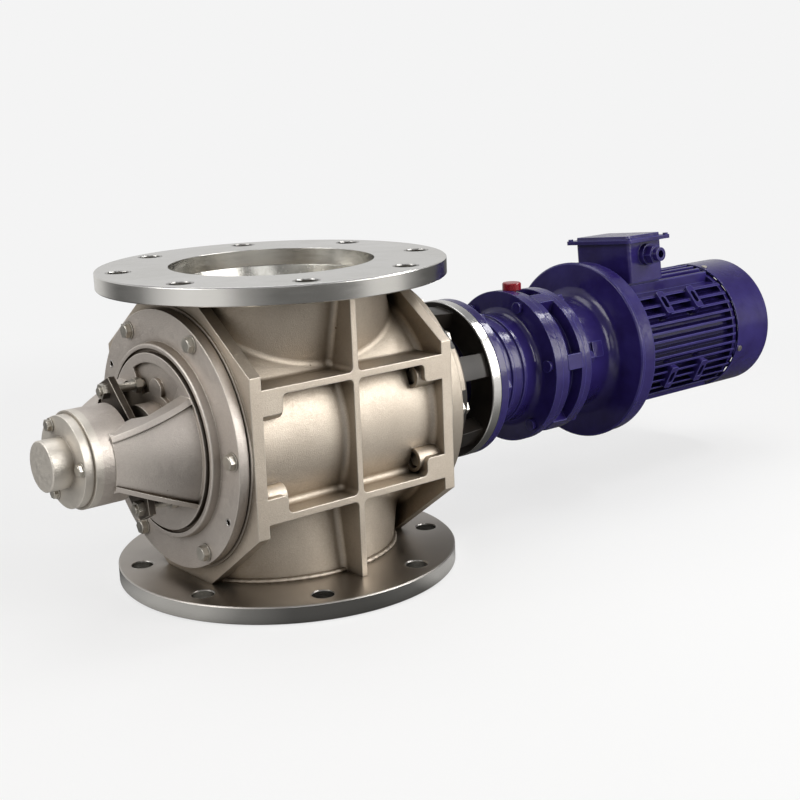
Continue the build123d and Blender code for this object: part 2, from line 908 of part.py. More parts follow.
# Ball bearings: outer ring, inner ring and balls
def race(start, width, outer, inner, depth, inside):
    """Bearing ring with a ball groove on its inner (inside) or outer face."""
    middle = start + width / 2
    pitch = inner if inside else outer
    way = 1 if inside else -1
    with BuildSketch(radial_plane(0)) as section:
        with Locations((middle, (outer + inner) / 2)):
            Rectangle(width, outer - inner)
        with Locations((middle, pitch - way * depth)):
            Circle(2 * depth, mode=Mode.SUBTRACT)
    revolve(section.sketch, axis=rotor_axis)


ball_circle = (bearing_bore_r + bearing_outer_r) / 2
ball_r = (bearing_outer_r - bearing_bore_r) / 2 - bearing_ring + 1.6
for side_name, start in (("outboard", outboard_bearing_x), ("drive", drive_bearing_x)):
    with BuildPart() as outer_race:
        race(start, bearing_width, bearing_outer_r - seat_gap / 2, bearing_outer_r - bearing_ring, 2.0, True)
    finish(outer_race, f"{side_name}_bearing_outer_ring")
    with BuildPart() as inner_race:
        race(start, bearing_width, bearing_bore_r + bearing_ring, bearing_bore_r + seat_gap, 2.0, False)
    finish(inner_race, f"{side_name}_bearing_inner_ring")

# Rotor: hub and eight bevelled vanes
with BuildPart() as rotor:
    with BuildSketch(station(-rotor_half + rotor_gap)) as rotor_section:
        Circle(rotor_hub_r)
        with PolarLocations(0, rotor_vanes, start_angle=180 / rotor_vanes):
            Polygon(
                (rotor_hub_r - 3, -vane_thick / 2),
                (rotor_r - vane_tip, -vane_thick / 2),
                (rotor_r - 0.05, -vane_thick / 2 + vane_tip_thick - 1.5),
                (rotor_r - 0.05, vane_thick / 2),
                (rotor_hub_r - 3, vane_thick / 2),
                align=None,
            )
        Circle(shaft_hub_r + seat_gap, mode=Mode.SUBTRACT)
    extrude(rotor_section.sketch, amount=2 * (rotor_half - rotor_gap))
finish(rotor, "rotor")

# Rotor shaft with its journals
shaft_start = outboard_bearing_x - shaft_tail
outboard_step = outboard_bearing_x + bearing_width
shaft_end = coupling_start + coupling_length / 2 - 1
circlip_x = outboard_bearing_x - circlip_thick
with BuildPart() as rotor_shaft:
    turn(
        (shaft_start, 0),
        (shaft_start, bearing_bore_r - 1),
        (shaft_start + 1, bearing_bore_r),
        (circlip_x, bearing_bore_r),
        (circlip_x, bearing_bore_r - circlip_groove),
        (outboard_bearing_x, bearing_bore_r - circlip_groove),
        (outboard_bearing_x, bearing_bore_r),
        (outboard_step, bearing_bore_r),
        (outboard_step, shaft_seal_r),
        (-rotor_half + rotor_gap, shaft_seal_r),
        (-rotor_half + rotor_gap, shaft_hub_r),
        (rotor_half - rotor_gap, shaft_hub_r),
        (rotor_half - rotor_gap, shaft_seal_r),
        (drive_bearing_x, shaft_seal_r),
        (drive_bearing_x, bearing_bore_r),
        (shaft_end, bearing_bore_r),
        (shaft_end, 0),
    )
finish(rotor_shaft, "rotor_shaft")

with BuildPart() as shaft_circlip:
    ring(circlip_x, outboard_bearing_x, circlip_r, bearing_bore_r - circlip_groove + seat_gap)
    with Locations((circlip_x + circlip_thick / 2, 0, axis_height - bearing_bore_r)):
        Box(2 * circlip_thick, 9, 10, mode=Mode.SUBTRACT)
finish(shaft_circlip, "shaft_circlip")

# Lantern between the drive end cover and the gearbox
with BuildPart() as drive_lantern:
    ring(drum_end, lantern_foot, drum_r, lantern_hole_r)
    ring(drive_bearing_x + bearing_width, drum_end, bearing_outer_r - seat_gap, bearing_outer_r - bearing_ring)
    for arm in range(drive_arms):
        turn(
            (lantern_foot - 1, arm_outer - arm_depth),
            (lantern_foot - 1, arm_outer),
            (lantern_disc_x + 1, arm_outer - arm_draft),
            (lantern_disc_x + 1, arm_outer - arm_depth - arm_draft),
            first=arm_first + arm_sweep / 2 + arm * 360 / drive_arms,
            sweep=arm_sweep,
        )
    turn(
        (lantern_disc_x, lantern_bore_r),
        (lantern_disc_x, lantern_disc_r - 1),
        (lantern_disc_x + 1, lantern_disc_r),
        (gear_face - 1, lantern_disc_r),
        (gear_face, lantern_disc_r - 1),
        (gear_face, lantern_bore_r),
    )
    drill(
        drum_end, lantern_foot, lantern_screw_r + bolt_gap, lantern_screw_circle, drive_arms, lantern_screw_first
    )
    drill(gear_face, gear_face - gear_bolt_hole, gear_bolt_r + seat_gap, gear_bolt_circle, gear_bolts)
finish(drive_lantern, "drive_lantern")

with BuildPart() as lantern_screws:
    hex_set(
        lantern_foot, 1, lantern_screw_circle, drive_arms, lantern_screw_first,
        lantern_screw_flats, lantern_screw_head, lantern_screw_r,
        lantern_base + lantern_screw_hole - bolt_end_gap,
    )
finish(lantern_screws, "lantern_screws")

# Bolts that hold the gearbox flange on the lantern disc
with BuildPart() as gearbox_bolts:
    hex_set(
        gear_flange_back, 1, gear_bolt_circle, gear_bolts, 0,
        gear_bolt_flats, gear_bolt_head, gear_bolt_r, gear_flange + gear_bolt_hole - bolt_end_gap,
    )
finish(gearbox_bolts, "gearbox_bolts")

# Sleeve coupling between the rotor shaft and the gearbox output shaft
with BuildPart() as coupling_sleeve:
    coupling_end = coupling_start + coupling_length
    turn(
        (coupling_start, bearing_bore_r + seat_gap),
        (coupling_start, coupling_r - 1),
        (coupling_start + 1, coupling_r),
        (coupling_end - 1, coupling_r),
        (coupling_end, coupling_r - 1),
        (coupling_end, bearing_bore_r + seat_gap),
    )
    for screw_x in (coupling_start + coupling_length / 4, coupling_end - coupling_length / 4):
        with BuildSketch(outward_plane(90, screw_x, coupling_r - 6)) as grub_hole:
            Circle(coupling_step)
        extrude(grub_hole.sketch, amount=8, mode=Mode.SUBTRACT)
finish(coupling_sleeve, "coupling_sleeve")

# Gearbox output housing: flange, banded barrel flaring into the first big disc
housing_bearing_bore = output_bearing_r + seat_gap
with BuildPart() as output_housing:
    with BuildSketch(radial_plane(0)) as output_section:
        with BuildLine():
            Polyline(
                (disc_a_x, disc_a_r),
                (ring_x, disc_a_r),
                (ring_x, gear_barrel_bore),
                (output_bearing_places[1] + output_bearing_width, gear_barrel_bore),
                (output_bearing_places[1] + output_bearing_width, housing_bearing_bore),
                (gear_flange_back + output_seal_width - 2, housing_bearing_bore),
                (gear_flange_back + output_seal_width - 2, output_journal_r + 8),
                (gear_face, output_journal_r + 8),
                (gear_face, gear_flange_r),
                (gear_flange_back, gear_flange_r),
                (gear_flange_back, gear_barrel_r + 4),
                (gear_flange_back + 4, gear_barrel_r),
                (disc_a_x - disc_a_flare, gear_barrel_r),
            )
            TangentArc(
                (disc_a_x - disc_a_flare, gear_barrel_r), (disc_a_x, gear_barrel_r + disc_a_flare), tangent=(1, 0)
            )
            Line((disc_a_x, gear_barrel_r + disc_a_flare), (disc_a_x, disc_a_r))
        make_face()
    revolve(output_section.sketch, axis=rotor_axis)
    for band_offset in band_offsets:
        band_x = gear_flange_back + band_offset
        turn(
            (band_x - band_width / 2, gear_barrel_r - 1),
            (band_x - band_width / 2 + 1.5, band_r),
            (band_x + band_width / 2 - 1.5, band_r),
            (band_x + band_width / 2, gear_barrel_r - 1),
        )
    drill(gear_face, gear_flange_back, gear_bolt_r + bolt_gap, gear_bolt_circle, gear_bolts)
    drill(disc_a_x, ring_x, through_r + bolt_gap, through_circle, through_bolts, lug_first)
finish(output_housing, "output_housing")

# Output shaft with its pin flange, bearings and seal
output_flange_x = cycloid_x - output_flange - 1
output_shaft_start = coupling_start + coupling_length / 2 + 1
with BuildPart() as output_shaft:
    turn(
        (output_shaft_start, 0),
        (output_shaft_start, output_shaft_r),
        (gear_face + 2, output_shaft_r),
        (gear_face + 2, output_journal_r),
        (output_bearing_places[1] + output_bearing_width, output_journal_r),
        (output_bearing_places[1] + output_bearing_width, output_journal_r + 4),
        (output_flange_x, output_journal_r + 4),
        (output_flange_x, output_flange_r),
        (output_flange_x + output_flange, output_flange_r),
        (output_flange_x + output_flange, 0),
    )
    with BuildSketch(station(output_flange_x + output_flange - 1)) as pins:
        with around(output_pin_circle, output_pins):
            Circle(output_pin_r)
    extrude(pins.sketch, amount=cycloid_thick + 3)
finish(output_shaft, "output_shaft")

with BuildPart() as output_bearing_outer_rings:
    for start in output_bearing_places:
        race(
            start, output_bearing_width, output_bearing_r, output_bearing_r - bearing_ring - 0.5, 2.0, True
        )
finish(output_bearing_outer_rings, "output_bearing_outer_rings")

with BuildPart() as output_bearing_inner_rings:
    for start in output_bearing_places:
        race(
            start,
            output_bearing_width,
            output_journal_r + bearing_ring + 0.5,
            output_journal_r + seat_gap,
            2.0,
            False,
        )
finish(output_bearing_inner_rings, "output_bearing_inner_rings")

with BuildPart() as output_seal:
    ring(gear_face + 1, gear_face + 1 + output_seal_width, output_journal_r + 8 - seat_gap, output_journal_r + running_gap + 0.5)
finish(output_seal, "output_seal")

# Ring gear housing: two ledges, open groove bridged by lugs, seats for the ring pins
ring_bore = ring_pin_circle + ring_pin_r / 2
with BuildPart() as ring_gear_housing:
    turn(
        (ring_x, ring_bore),
        (ring_x, ring_ledge_r),
        (groove_x, ring_ledge_r),
        (groove_x, ring_groove_r),
        (ring_back_x, ring_groove_r),
        (ring_back_x, ring_ledge_r),
        (adapter_x, ring_ledge_r),
        (adapter_x, ring_bore),
    )
    with BuildSketch(station(groove_x - 1)) as lug_blocks:
        with around((ring_groove_r + lug_r) / 2 - 1, through_bolts, lug_first):
            Rectangle(lug_r - ring_groove_r + 2, lug_width)
    extrude(lug_blocks.sketch, amount=ring_groove + 2)
    drill(ring_x, adapter_x, through_r + bolt_gap, through_circle, through_bolts, lug_first)
    drill(groove_x, ring_back_x, ring_pin_r + seat_gap, ring_pin_circle, lobes + 1)
    with BuildSketch(outward_plane(90, breather_x, ring_ledge_r - 9)) as breather_hole:
        Circle(breather_stem_r + seat_gap)
    extrude(breather_hole.sketch, amount=12, mode=Mode.SUBTRACT)
    with BuildSketch(outward_plane(-90, breather_x, ring_ledge_r - 9)) as drain_hole:
        Circle(drain_r + seat_gap)
    extrude(drain_hole.sketch, amount=12, mode=Mode.SUBTRACT)
finish(ring_gear_housing, "ring_gear_housing")

with BuildPart() as ring_gear_pins:
    with BuildSketch(station(groove_x + seat_gap)) as pin_circle:
        with around(ring_pin_circle, lobes + 1):
            Circle(ring_pin_r)
    extrude(pin_circle.sketch, amount=ring_groove - 2 * seat_gap)
finish(ring_gear_pins, "ring_gear_pins")


def cycloid_point(turn_angle):
    """Point of the cycloid disc's flank for a rolling angle, clear of the pins by lobe_gap."""
    teeth = lobes + 1
    reach = ring_pin_r + lobe_gap
    lean = atan2(
        sin((1 - teeth) * turn_angle), ring_pin_circle / (cam_throw * teeth) - cos((1 - teeth) * turn_angle)
    )
    across = ring_pin_circle * cos(turn_angle) - reach * cos(turn_angle + lean)
    along = -ring_pin_circle * sin(turn_angle) + reach * sin(turn_angle + lean)
    return (
        across - cam_throw * cos(teeth * turn_angle),
        along + cam_throw * sin(teeth * turn_angle),
    )


# Cycloid disc, thrown off centre by the cam, with holes round the output pins
cycloid_plane = Plane(
    origin=(cycloid_x, cam_throw, axis_height), x_dir=(0, 1, 0), z_dir=(1, 0, 0)
)
flank_points = points_per_lobe * lobes
with BuildPart() as cycloid_disc:
    with BuildSketch(cycloid_plane) as cycloid_face:
        with BuildLine():
            Spline(
                *[cycloid_point(2 * pi * index / flank_points) for index in range(flank_points)],
                periodic=True,
            )
        make_face()
        Circle(cam_r + running_gap, mode=Mode.SUBTRACT)
        with PolarLocations(output_pin_circle, output_pins):
            Circle(output_pin_r + cam_throw + lobe_gap, mode=Mode.SUBTRACT)
    extrude(cycloid_face.sketch, amount=cycloid_thick)
finish(cycloid_disc, "cycloid_disc")

with BuildPart() as eccentric_cam:
    with BuildSketch(cycloid_plane) as cam_face:
        Circle(cam_r)
        with Locations((-cam_throw, 0)):
            Circle(motor_shaft_r + seat_gap, mode=Mode.SUBTRACT)
    extrude(cam_face.sketch, amount=cycloid_thick)
finish(eccentric_cam, "eccentric_cam")

# Through bolts of the gearbox: low round heads on the big disc and nuts on the adapter flange
with BuildPart() as through_bolt_set:
    through_end = adapter_barrel_x + through_nut + bolt_end_gap
    with BuildSketch(station(disc_a_x)) as round_heads:
        with around(through_circle, through_bolts, lug_first):
            Circle(through_head_r)
    extrude(round_heads.sketch, amount=-through_head)
    hex_set(
        adapter_barrel_x, 1, through_circle, through_bolts, lug_first,
        through_flats, through_nut, through_r, 0,
    )
    with BuildSketch(station(disc_a_x)) as rods:
        with around(through_circle, through_bolts, lug_first):
            Circle(through_r)
    extrude(rods.sketch, amount=through_end - disc_a_x)
finish(through_bolt_set, "through_bolts")

# Breather, and drain plug below it
with BuildPart() as breather_plug:
    with BuildSketch(outward_plane(90, breather_x, ring_ledge_r - 8)) as stem:
        Circle(breather_stem_r)
    extrude(stem.sketch, amount=8 + 3)
    with BuildSketch(outward_plane(90, breather_x, ring_ledge_r + 3)) as cap_top:
        Circle(breather_cap_r)
    extrude(cap_top.sketch, amount=breather_cap)
    chamfer(edges().filter_by(GeomType.CIRCLE).sort_by(Axis.Z)[-1], 1)
finish(breather_plug, "breather_plug")

with BuildPart() as drain_plug:
    with BuildSketch(outward_plane(-90, breather_x, ring_ledge_r - 8)) as drain_stem:
        Circle(drain_r)
    extrude(drain_stem.sketch, amount=8)
    with BuildSketch(outward_plane(-90, breather_x, ring_ledge_r)) as drain_top:
        RegularPolygon(drain_flats / 2, 6, major_radius=False)
    extrude(drain_top.sketch, amount=drain_head)
finish(drain_plug, "drain_plug")

# Motor adapter: flange, barrel flaring into the big motor disc, bearing seat for the motor
with BuildPart() as motor_adapter:
    with BuildSketch(radial_plane(0)) as adapter_section:
        with BuildLine():
            Polyline(
                (disc_b_x, adapter_barrel_r + adapter_flare),
                (disc_b_x, disc_b_r - 1.5),
                (disc_b_x + 1.5, disc_b_r),
                (disc_b_x + disc_b_step, disc_b_r),
                (disc_b_x + disc_b_step, disc_b_r - disc_b_step_depth),
                (motor_x, disc_b_r - disc_b_step_depth),
                (motor_x, motor_bearing_r + seat_gap),
                (motor_x - motor_bearing_width - 1, motor_bearing_r + seat_gap),
                (motor_x - motor_bearing_width - 1, motor_shaft_r + 3),
                (motor_x - motor_bearing_width - 5, motor_shaft_r + 3),
                (motor_x - motor_bearing_width - 5, adapter_bore_r),
                (adapter_x, adapter_bore_r),
                (adapter_x, adapter_flange_r),
                (adapter_barrel_x, adapter_flange_r),
                (adapter_barrel_x, adapter_barrel_r + 3),
                (adapter_barrel_x + 3, adapter_barrel_r),
                (disc_b_x - adapter_flare, adapter_barrel_r),
            )
            TangentArc(
                (disc_b_x - adapter_flare, adapter_barrel_r),
                (disc_b_x, adapter_barrel_r + adapter_flare),
                tangent=(1, 0),
            )
        make_face()
    revolve(adapter_section.sketch, axis=rotor_axis)
    pad_window_x = adapter_barrel_x + pad_window_offset
    with BuildSketch(outward_plane(pad_window_angle, pad_window_x, adapter_barrel_r - 3)) as pad_face:
        RectangleRounded(pad_window, pad_window + 2, 2)
    extrude(pad_face.sketch, amount=3 + pad_window_proud)
    drill(adapter_x, adapter_barrel_x, through_r + bolt_gap, through_circle, through_bolts, lug_first)
finish(motor_adapter, "motor_adapter")


# Motor frame with side fins, floor fins, lug plates and a saddle for the terminal box
def lug_plates(angle, half_turn):
    """Slotted lug plates standing out of the frame at an angle, on one side."""
    for lug_offset in lug_offsets:
        lug_angle = half_turn - angle if half_turn else angle
        plane = outward_plane(lug_angle, motor_x + lug_offset, motor_shell_r - 2)
        with BuildSketch(plane) as plate:
            RectangleRounded(lug_plate, lug_height, 3)
        extrude(plate.sketch, amount=lug_depth)
        with BuildSketch(plane.offset(lug_depth)) as slot:
            SlotOverall(lug_slot_long, lug_slot_wide, rotation=90)
        extrude(slot.sketch, amount=-8, mode=Mode.SUBTRACT)


with BuildPart() as motor_frame:
    with BuildSketch(station(motor_x)) as fin_section:
        for index in range(side_fins):
            with Locations((0, (index - (side_fins - 1) / 2) * fin_pitch)):
                Rectangle(2 * motor_fin_r, fin_thick)
        for index in range(floor_fins):
            with Locations(((index - (floor_fins - 1) / 2) * fin_pitch, 0)):
                Rectangle(fin_thick, 2 * motor_fin_r)
        Circle(motor_fin_r, mode=Mode.INTERSECT)
        Circle(motor_shell_r)
    extrude(fin_section.sketch, amount=motor_end_x - motor_x)
    ring(motor_x, motor_x + motor_ring, motor_fin_r)
    for side_turn in (0, 180):
        lug_plates(upper_lug_angle, side_turn)
        lug_plates(lower_lug_angle, side_turn)
    with BuildSketch(box_level(0)) as saddle:
        with Locations((box_x, 0)):
            Rectangle(box_length, box_width - 2 * saddle_step)
    extrude(saddle.sketch, amount=box_rise)
    with BuildSketch(box_level(box_rise)) as box_clearance:
        with Locations((box_x, 0)):
            Rectangle(box_length + 2, box_width + 2)
    extrude(box_clearance.sketch, amount=motor_fin_r, mode=Mode.SUBTRACT)
    ring(motor_x, motor_end_x, motor_bore_r, mode=Mode.SUBTRACT)
finish(motor_frame, "motor_frame")

# Stator, armature, shaft and bearings of the motor
stator_end = stator_start + stator_length
with BuildPart() as stator_core:
    ring(stator_start, stator_end, motor_bore_r - seat_gap, stator_bore_r)
finish(stator_core, "stator_core")

with BuildPart() as stator_windings:
    for start, end in (
        (stator_start - winding_overhang, stator_start),
        (stator_end, stator_end + winding_overhang),
    ):
        ring(start, end, winding_r, stator_bore_r + 3)
finish(stator_windings, "stator_windings")

with BuildPart() as motor_armature:
    ring(stator_start, stator_end, stator_bore_r - armature_gap, armature_shaft_r + seat_gap)
finish(motor_armature, "motor_armature")

front_bearing_x = motor_x - motor_bearing_width - 1
rear_bearing_x = motor_end_x - shield_hub
motor_shaft_start = cycloid_x - 1
motor_shaft_end = fan_x + fan_depth + 4
with BuildPart() as motor_shaft:
    turn(
        (motor_shaft_start, 0),
        (motor_shaft_start, motor_shaft_r),
        (front_bearing_x + motor_bearing_width, motor_shaft_r),
        (front_bearing_x + motor_bearing_width, armature_shaft_r),
        (rear_bearing_x, armature_shaft_r),
        (rear_bearing_x, motor_shaft_r),
        (motor_shaft_end, motor_shaft_r),
        (motor_shaft_end, 0),
    )
finish(motor_shaft, "motor_shaft")

with BuildPart() as motor_bearing_outer_rings:
    for start in (front_bearing_x, rear_bearing_x):
        race(start, motor_bearing_width, motor_bearing_r, motor_bearing_r - 3.5, 1.6, True)
finish(motor_bearing_outer_rings, "motor_bearing_outer_rings")

with BuildPart() as motor_bearing_inner_rings:
    for start in (front_bearing_x, rear_bearing_x):
        race(start, motor_bearing_width, motor_shaft_r + 3.5, motor_shaft_r + seat_gap, 1.6, False)
finish(motor_bearing_inner_rings, "motor_bearing_inner_rings")

# Rear end shield with its bearing seat
with BuildPart() as rear_end_shield:
    turn(
        (motor_end_x, shield_r),
        (shield_back_x, shield_r),
        (shield_back_x, motor_shaft_r + 3),
        (rear_bearing_x + motor_bearing_width, motor_shaft_r + 3),
        (rear_bearing_x + motor_bearing_width, motor_bearing_r + seat_gap),
        (rear_bearing_x, motor_bearing_r + seat_gap),
        (rear_bearing_x, motor_bearing_r + shield_hub_wall),
        (motor_end_x, motor_bearing_r + shield_hub_wall),
    )
    for index in range(cowl_screws):
        turn(
            (shield_back_x - ear_root, shield_r - 2),
            (shield_back_x - ear_root, cowl_r - cowl_wall - seat_gap),
            (cowl_start + ear_length, cowl_r - cowl_wall - seat_gap),
            (cowl_start + ear_length, shield_r - 2),
            first=cowl_screw_first + ear_sweep / 2 + index * 360 / cowl_screws,
            sweep=ear_sweep,
        )
finish(rear_end_shield, "rear_end_shield")

# Cooling fan
with BuildPart() as cooling_fan:
    ring(fan_x, fan_x + fan_depth, fan_hub_r, motor_shaft_r + seat_gap)
    ring(fan_x, fan_x + fan_plate, fan_r, fan_hub_r - 1)
    with BuildSketch(station(fan_x + fan_plate - 1)) as blades:
        with PolarLocations((fan_hub_r + fan_r) / 2, fan_blades):
            Rectangle(fan_r - fan_hub_r + 1, fan_blade)
    extrude(blades.sketch, amount=fan_depth - fan_plate + 1)
finish(cooling_fan, "cooling_fan")

# Fan cowl with a ring-slotted grille in its end
with BuildPart() as fan_cowl:
    turn(
        (cowl_start, cowl_r - cowl_wall),
        (cowl_start, cowl_r),
        (cowl_end - 3, cowl_r),
        (cowl_end - 1, cowl_r - 1),
        (cowl_end, cowl_r - 3),
        (cowl_end, 0),
        (cowl_end - cowl_wall, 0),
        (cowl_end - cowl_wall, cowl_r - cowl_wall - 2),
        (cowl_end - 4, cowl_r - cowl_wall),
    )
    with BuildSketch(station(cowl_end)) as grille:
        for slot_r in grille_rings:
            Circle(slot_r + grille_slot / 2)
            Circle(slot_r - grille_slot / 2, mode=Mode.SUBTRACT)
        with PolarLocations(0, grille_spokes):
            Rectangle(2 * cowl_r, grille_spoke, mode=Mode.SUBTRACT)
    extrude(grille.sketch, amount=-2 * cowl_wall, mode=Mode.SUBTRACT)
finish(fan_cowl, "fan_cowl")

# Screws that hold the cowl on the rear shield's ears
with BuildPart() as cowl_screw_set:
    for index in range(cowl_screws):
        screw_angle = cowl_screw_first + index * 360 / cowl_screws
        with BuildSketch(outward_plane(screw_angle, cowl_start + 5, cowl_r)) as screw_head:
            Circle(3.5)
        extrude(screw_head.sketch, amount=1.6)
finish(cowl_screw_set, "cowl_screws")

# Terminal box, lid, screws, board and cable gland
with BuildPart() as terminal_box:
    with BuildSketch(box_level(box_rise)) as box_outline:
        with Locations((box_x, 0)):
            RectangleRounded(box_length, box_width, box_round)
    extrude(box_outline.sketch, amount=box_height)
    with BuildSketch(box_level(box_top)) as box_hollow:
        with Locations((box_x, 0)):
            Rectangle(box_length - 2 * box_wall, box_width - 2 * box_wall)
    extrude(box_hollow.sketch, amount=box_wall - box_height, mode=Mode.SUBTRACT)
    with BuildSketch(box_front(box_width / 2 - 1)) as gland_boss_face:
        with Locations((box_x, gland_level)):
            Circle(gland_boss_r)
    extrude(gland_boss_face.sketch, amount=gland_boss + 1)
    with BuildSketch(box_front(box_width / 2 + gland_boss)) as gland_hole:
        with Locations((box_x, gland_level)):
            Circle(gland_nose_r + seat_gap)
    extrude(gland_hole.sketch, amount=-(gland_boss + box_wall + 1), mode=Mode.SUBTRACT)
finish(terminal_box, "terminal_box")

with BuildPart() as terminal_box_lid:
    with BuildSketch(box_level(box_top)) as lid_outline:
        with Locations((box_x, 0)):
            RectangleRounded(lid_length, lid_width, box_round)
    extrude(lid_outline.sketch, amount=lid_plate)
    with BuildSketch(box_level(box_top + lid_plate)) as lid_raised:
        with Locations((box_x, 0)):
            RectangleRounded(box_length, box_width, box_round)
    extrude(lid_raised.sketch, amount=lid_rise, taper=lid_taper)
finish(terminal_box_lid, "terminal_box_lid")

with BuildPart() as lid_screws:
    with BuildSketch(box_level(box_top + lid_plate)) as lid_screw_heads:
        with Locations((box_x, 0)):
            with GridLocations(
                lid_length - 2 * lid_screw_margin, lid_width - 2 * lid_screw_margin, 2, 2
            ):
                Circle(lid_screw_r)
    extrude(lid_screw_heads.sketch, amount=lid_screw_head)
finish(lid_screws, "lid_screws")

with BuildPart() as terminal_board:
    with BuildSketch(box_level(box_rise + box_wall)) as board:
        with Locations((box_x, 0)):
            Rectangle(32, 56)
    extrude(board.sketch, amount=10)
    with BuildSketch(box_level(box_rise + box_wall + 9)) as board_studs:
        with Locations((box_x, 0)):
            with GridLocations(16, 18, 2, 3):
                Circle(2.5)
    extrude(board_studs.sketch, amount=13)
finish(terminal_board, "terminal_board")

gland_seat = box_width / 2 + gland_boss
with BuildPart() as cable_gland:
    with BuildSketch(box_front(gland_seat)) as gland_hexagon:
        with Locations((box_x, gland_level)):
            RegularPolygon(gland_hex_flats / 2, 6, major_radius=False)
    extrude(gland_hexagon.sketch, amount=gland_hex)
    with BuildSketch(box_front(gland_seat - gland_boss)) as gland_thread:
        with Locations((box_x, gland_level)):
            Circle(gland_nose_r)
    extrude(gland_thread.sketch, amount=gland_boss + gland_hex + gland_nose_length)
    with BuildSketch(box_front(gland_seat - gland_boss)) as cable_bore:
        with Locations((box_x, gland_level)):
            Circle(cable_bore_r)
    extrude(cable_bore.sketch, amount=gland_boss + gland_hex + gland_nose_length, mode=Mode.SUBTRACT)
finish(cable_gland, "cable_gland")

print("clear inlet bore", inlet_bore, "rotor radius", round(rotor_r, 2), "cycloid ratio", lobes, "ball radius", ball_r)
print("yoke lean", round(degrees(atan2(yoke_foot_r - yoke_end_r, yoke_start - yoke_foot)), 1), "deg")
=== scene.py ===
# %% [markdown]
# A rotary feeder, dressed piece by piece
#
# The object is a rotary airlock: a cast stainless valve body with an eight-vane rotor, a yoke that
# carries the outer bearing, a black lantern, and a violet-blue cycloidal gearbox with its motor.
# Its solids come from the CAD frame, in metres: X runs along the rotor towards the motor, Z is up,
# and the camera stands on the -Y side. The solids already have the fillets of the castings and the
# bolts. This lesson gives each piece its finish, adds washers, bolt tops, weld beads, hole lips and
# threads, and never moves a CAD piece.

# %% Load the frame
import json
from math import asin, cos, degrees, pi, radians, sin

import bmesh
import bpy
from mathutils import Matrix, Vector


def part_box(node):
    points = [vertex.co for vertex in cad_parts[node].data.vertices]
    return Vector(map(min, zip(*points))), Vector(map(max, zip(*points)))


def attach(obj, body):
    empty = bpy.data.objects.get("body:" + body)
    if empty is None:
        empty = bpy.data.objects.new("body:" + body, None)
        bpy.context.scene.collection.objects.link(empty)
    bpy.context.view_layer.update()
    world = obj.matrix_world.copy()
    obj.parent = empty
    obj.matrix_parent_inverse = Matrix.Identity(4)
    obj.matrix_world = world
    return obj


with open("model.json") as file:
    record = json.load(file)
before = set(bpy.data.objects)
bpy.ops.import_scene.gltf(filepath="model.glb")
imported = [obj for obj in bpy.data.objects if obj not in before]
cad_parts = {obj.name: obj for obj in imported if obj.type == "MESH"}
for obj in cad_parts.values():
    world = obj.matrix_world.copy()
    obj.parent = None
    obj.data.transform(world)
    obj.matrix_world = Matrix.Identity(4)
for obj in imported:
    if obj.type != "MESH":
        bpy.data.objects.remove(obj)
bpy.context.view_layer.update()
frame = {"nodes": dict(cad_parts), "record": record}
nodes = frame["nodes"]
cap_low, cap_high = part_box("bearing_cap")
axis_height = round((cap_low.z + cap_high.z) / 2, 4)

# %% [markdown]
# The camera
#
# A photograph has one eye point. It was found by matching the two flange rims, the rotor axis and the
# round covers to the picture, so the camera is set by its place and by the directions found for where
# it looks and for its right, squared up to each other.

# %% Camera
eye = Vector((-0.76033, -1.12718, 0.48237))
forward = Vector((0.61328, 0.75608, -0.22854)).normalized()
rough_right = Vector((0.7705, -0.6363, -0.0372))
upward = rough_right.cross(forward).normalized()
right = forward.cross(upward)
camera_data = bpy.data.cameras.new("studio_camera")
camera_data.sensor_width = 36.0
camera_data.lens = 62.92
camera = bpy.data.objects.new("studio_camera", camera_data)
turned = Matrix((right, upward, -forward)).transposed().to_4x4()
camera.matrix_world = Matrix.Translation(eye) @ turned
bpy.context.scene.collection.objects.link(camera)
bpy.context.scene.camera = camera
bpy.context.scene.view_settings.view_transform = "Standard"
print("camera looks down by", round(degrees(asin(-forward.z)), 2), "degrees")

# %% [markdown]
# Floor, backdrop and light
#
# Bright metal only looks like metal when it has something to mirror. The studio is a pale room: the
# camera sees one even tone on the floor and behind it, and mirrors see bright stretches of wall
# between greyer ones, which gives a turned rim its streaks. The stretches are written once, as
# brightness against the direction round the object, and both the world and the floor use them.

# %% Studio tones
paper = 0.905
warm = (1.0, 0.985, 0.96)
back_wall = (0.74, 0.735, 0.73)
ceiling = (0.30, 0.30, 0.31)
glow = 0.20
mirror_stretches = (
    (-180, 0.95), (-156, 0.90), (-142, 0.40), (-124, 0.17), (-92, 0.17), (-74, 0.26), (-62, 0.85),
    (-42, 0.92), (-30, 0.30), (-12, 0.12), (22, 0.08), (40, 0.20), (60, 0.32), (78, 0.80),
    (98, 0.75), (112, 0.34), (124, 0.14), (146, 0.20), (162, 0.65), (180, 0.95),
)
print("stretches", len(mirror_stretches))

# %% [markdown]
# Blender describes the world and every material by a tree of nodes. Each of these short helpers makes
# one node, joins it to what feeds it and gives back its output, so that a look reads as a few lines.


# %% Node helpers
def link(tree, output, socket):
    """Join two node sockets."""
    tree.links.new(output, socket)


def math_node(tree, operation, first, second):
    """One arithmetic step. Each value is a socket or a number."""
    made = tree.nodes.new("ShaderNodeMath")
    made.operation = operation
    for socket, value in zip(made.inputs, (first, second)):
        if isinstance(value, (int, float)):
            socket.default_value = value
        else:
            link(tree, value, socket)
    return made.outputs[0]


def gentle_step(tree, value, start, end, low, high):
    """A value eased from low to high between start and end."""
    made = tree.nodes.new("ShaderNodeMapRange")
    made.interpolation_type = "SMOOTHSTEP"
    for name, number in (("From Min", start), ("From Max", end), ("To Min", low), ("To Max", high)):
        made.inputs[name].default_value = number
    link(tree, value, made.inputs["Value"])
    return made.outputs[0]


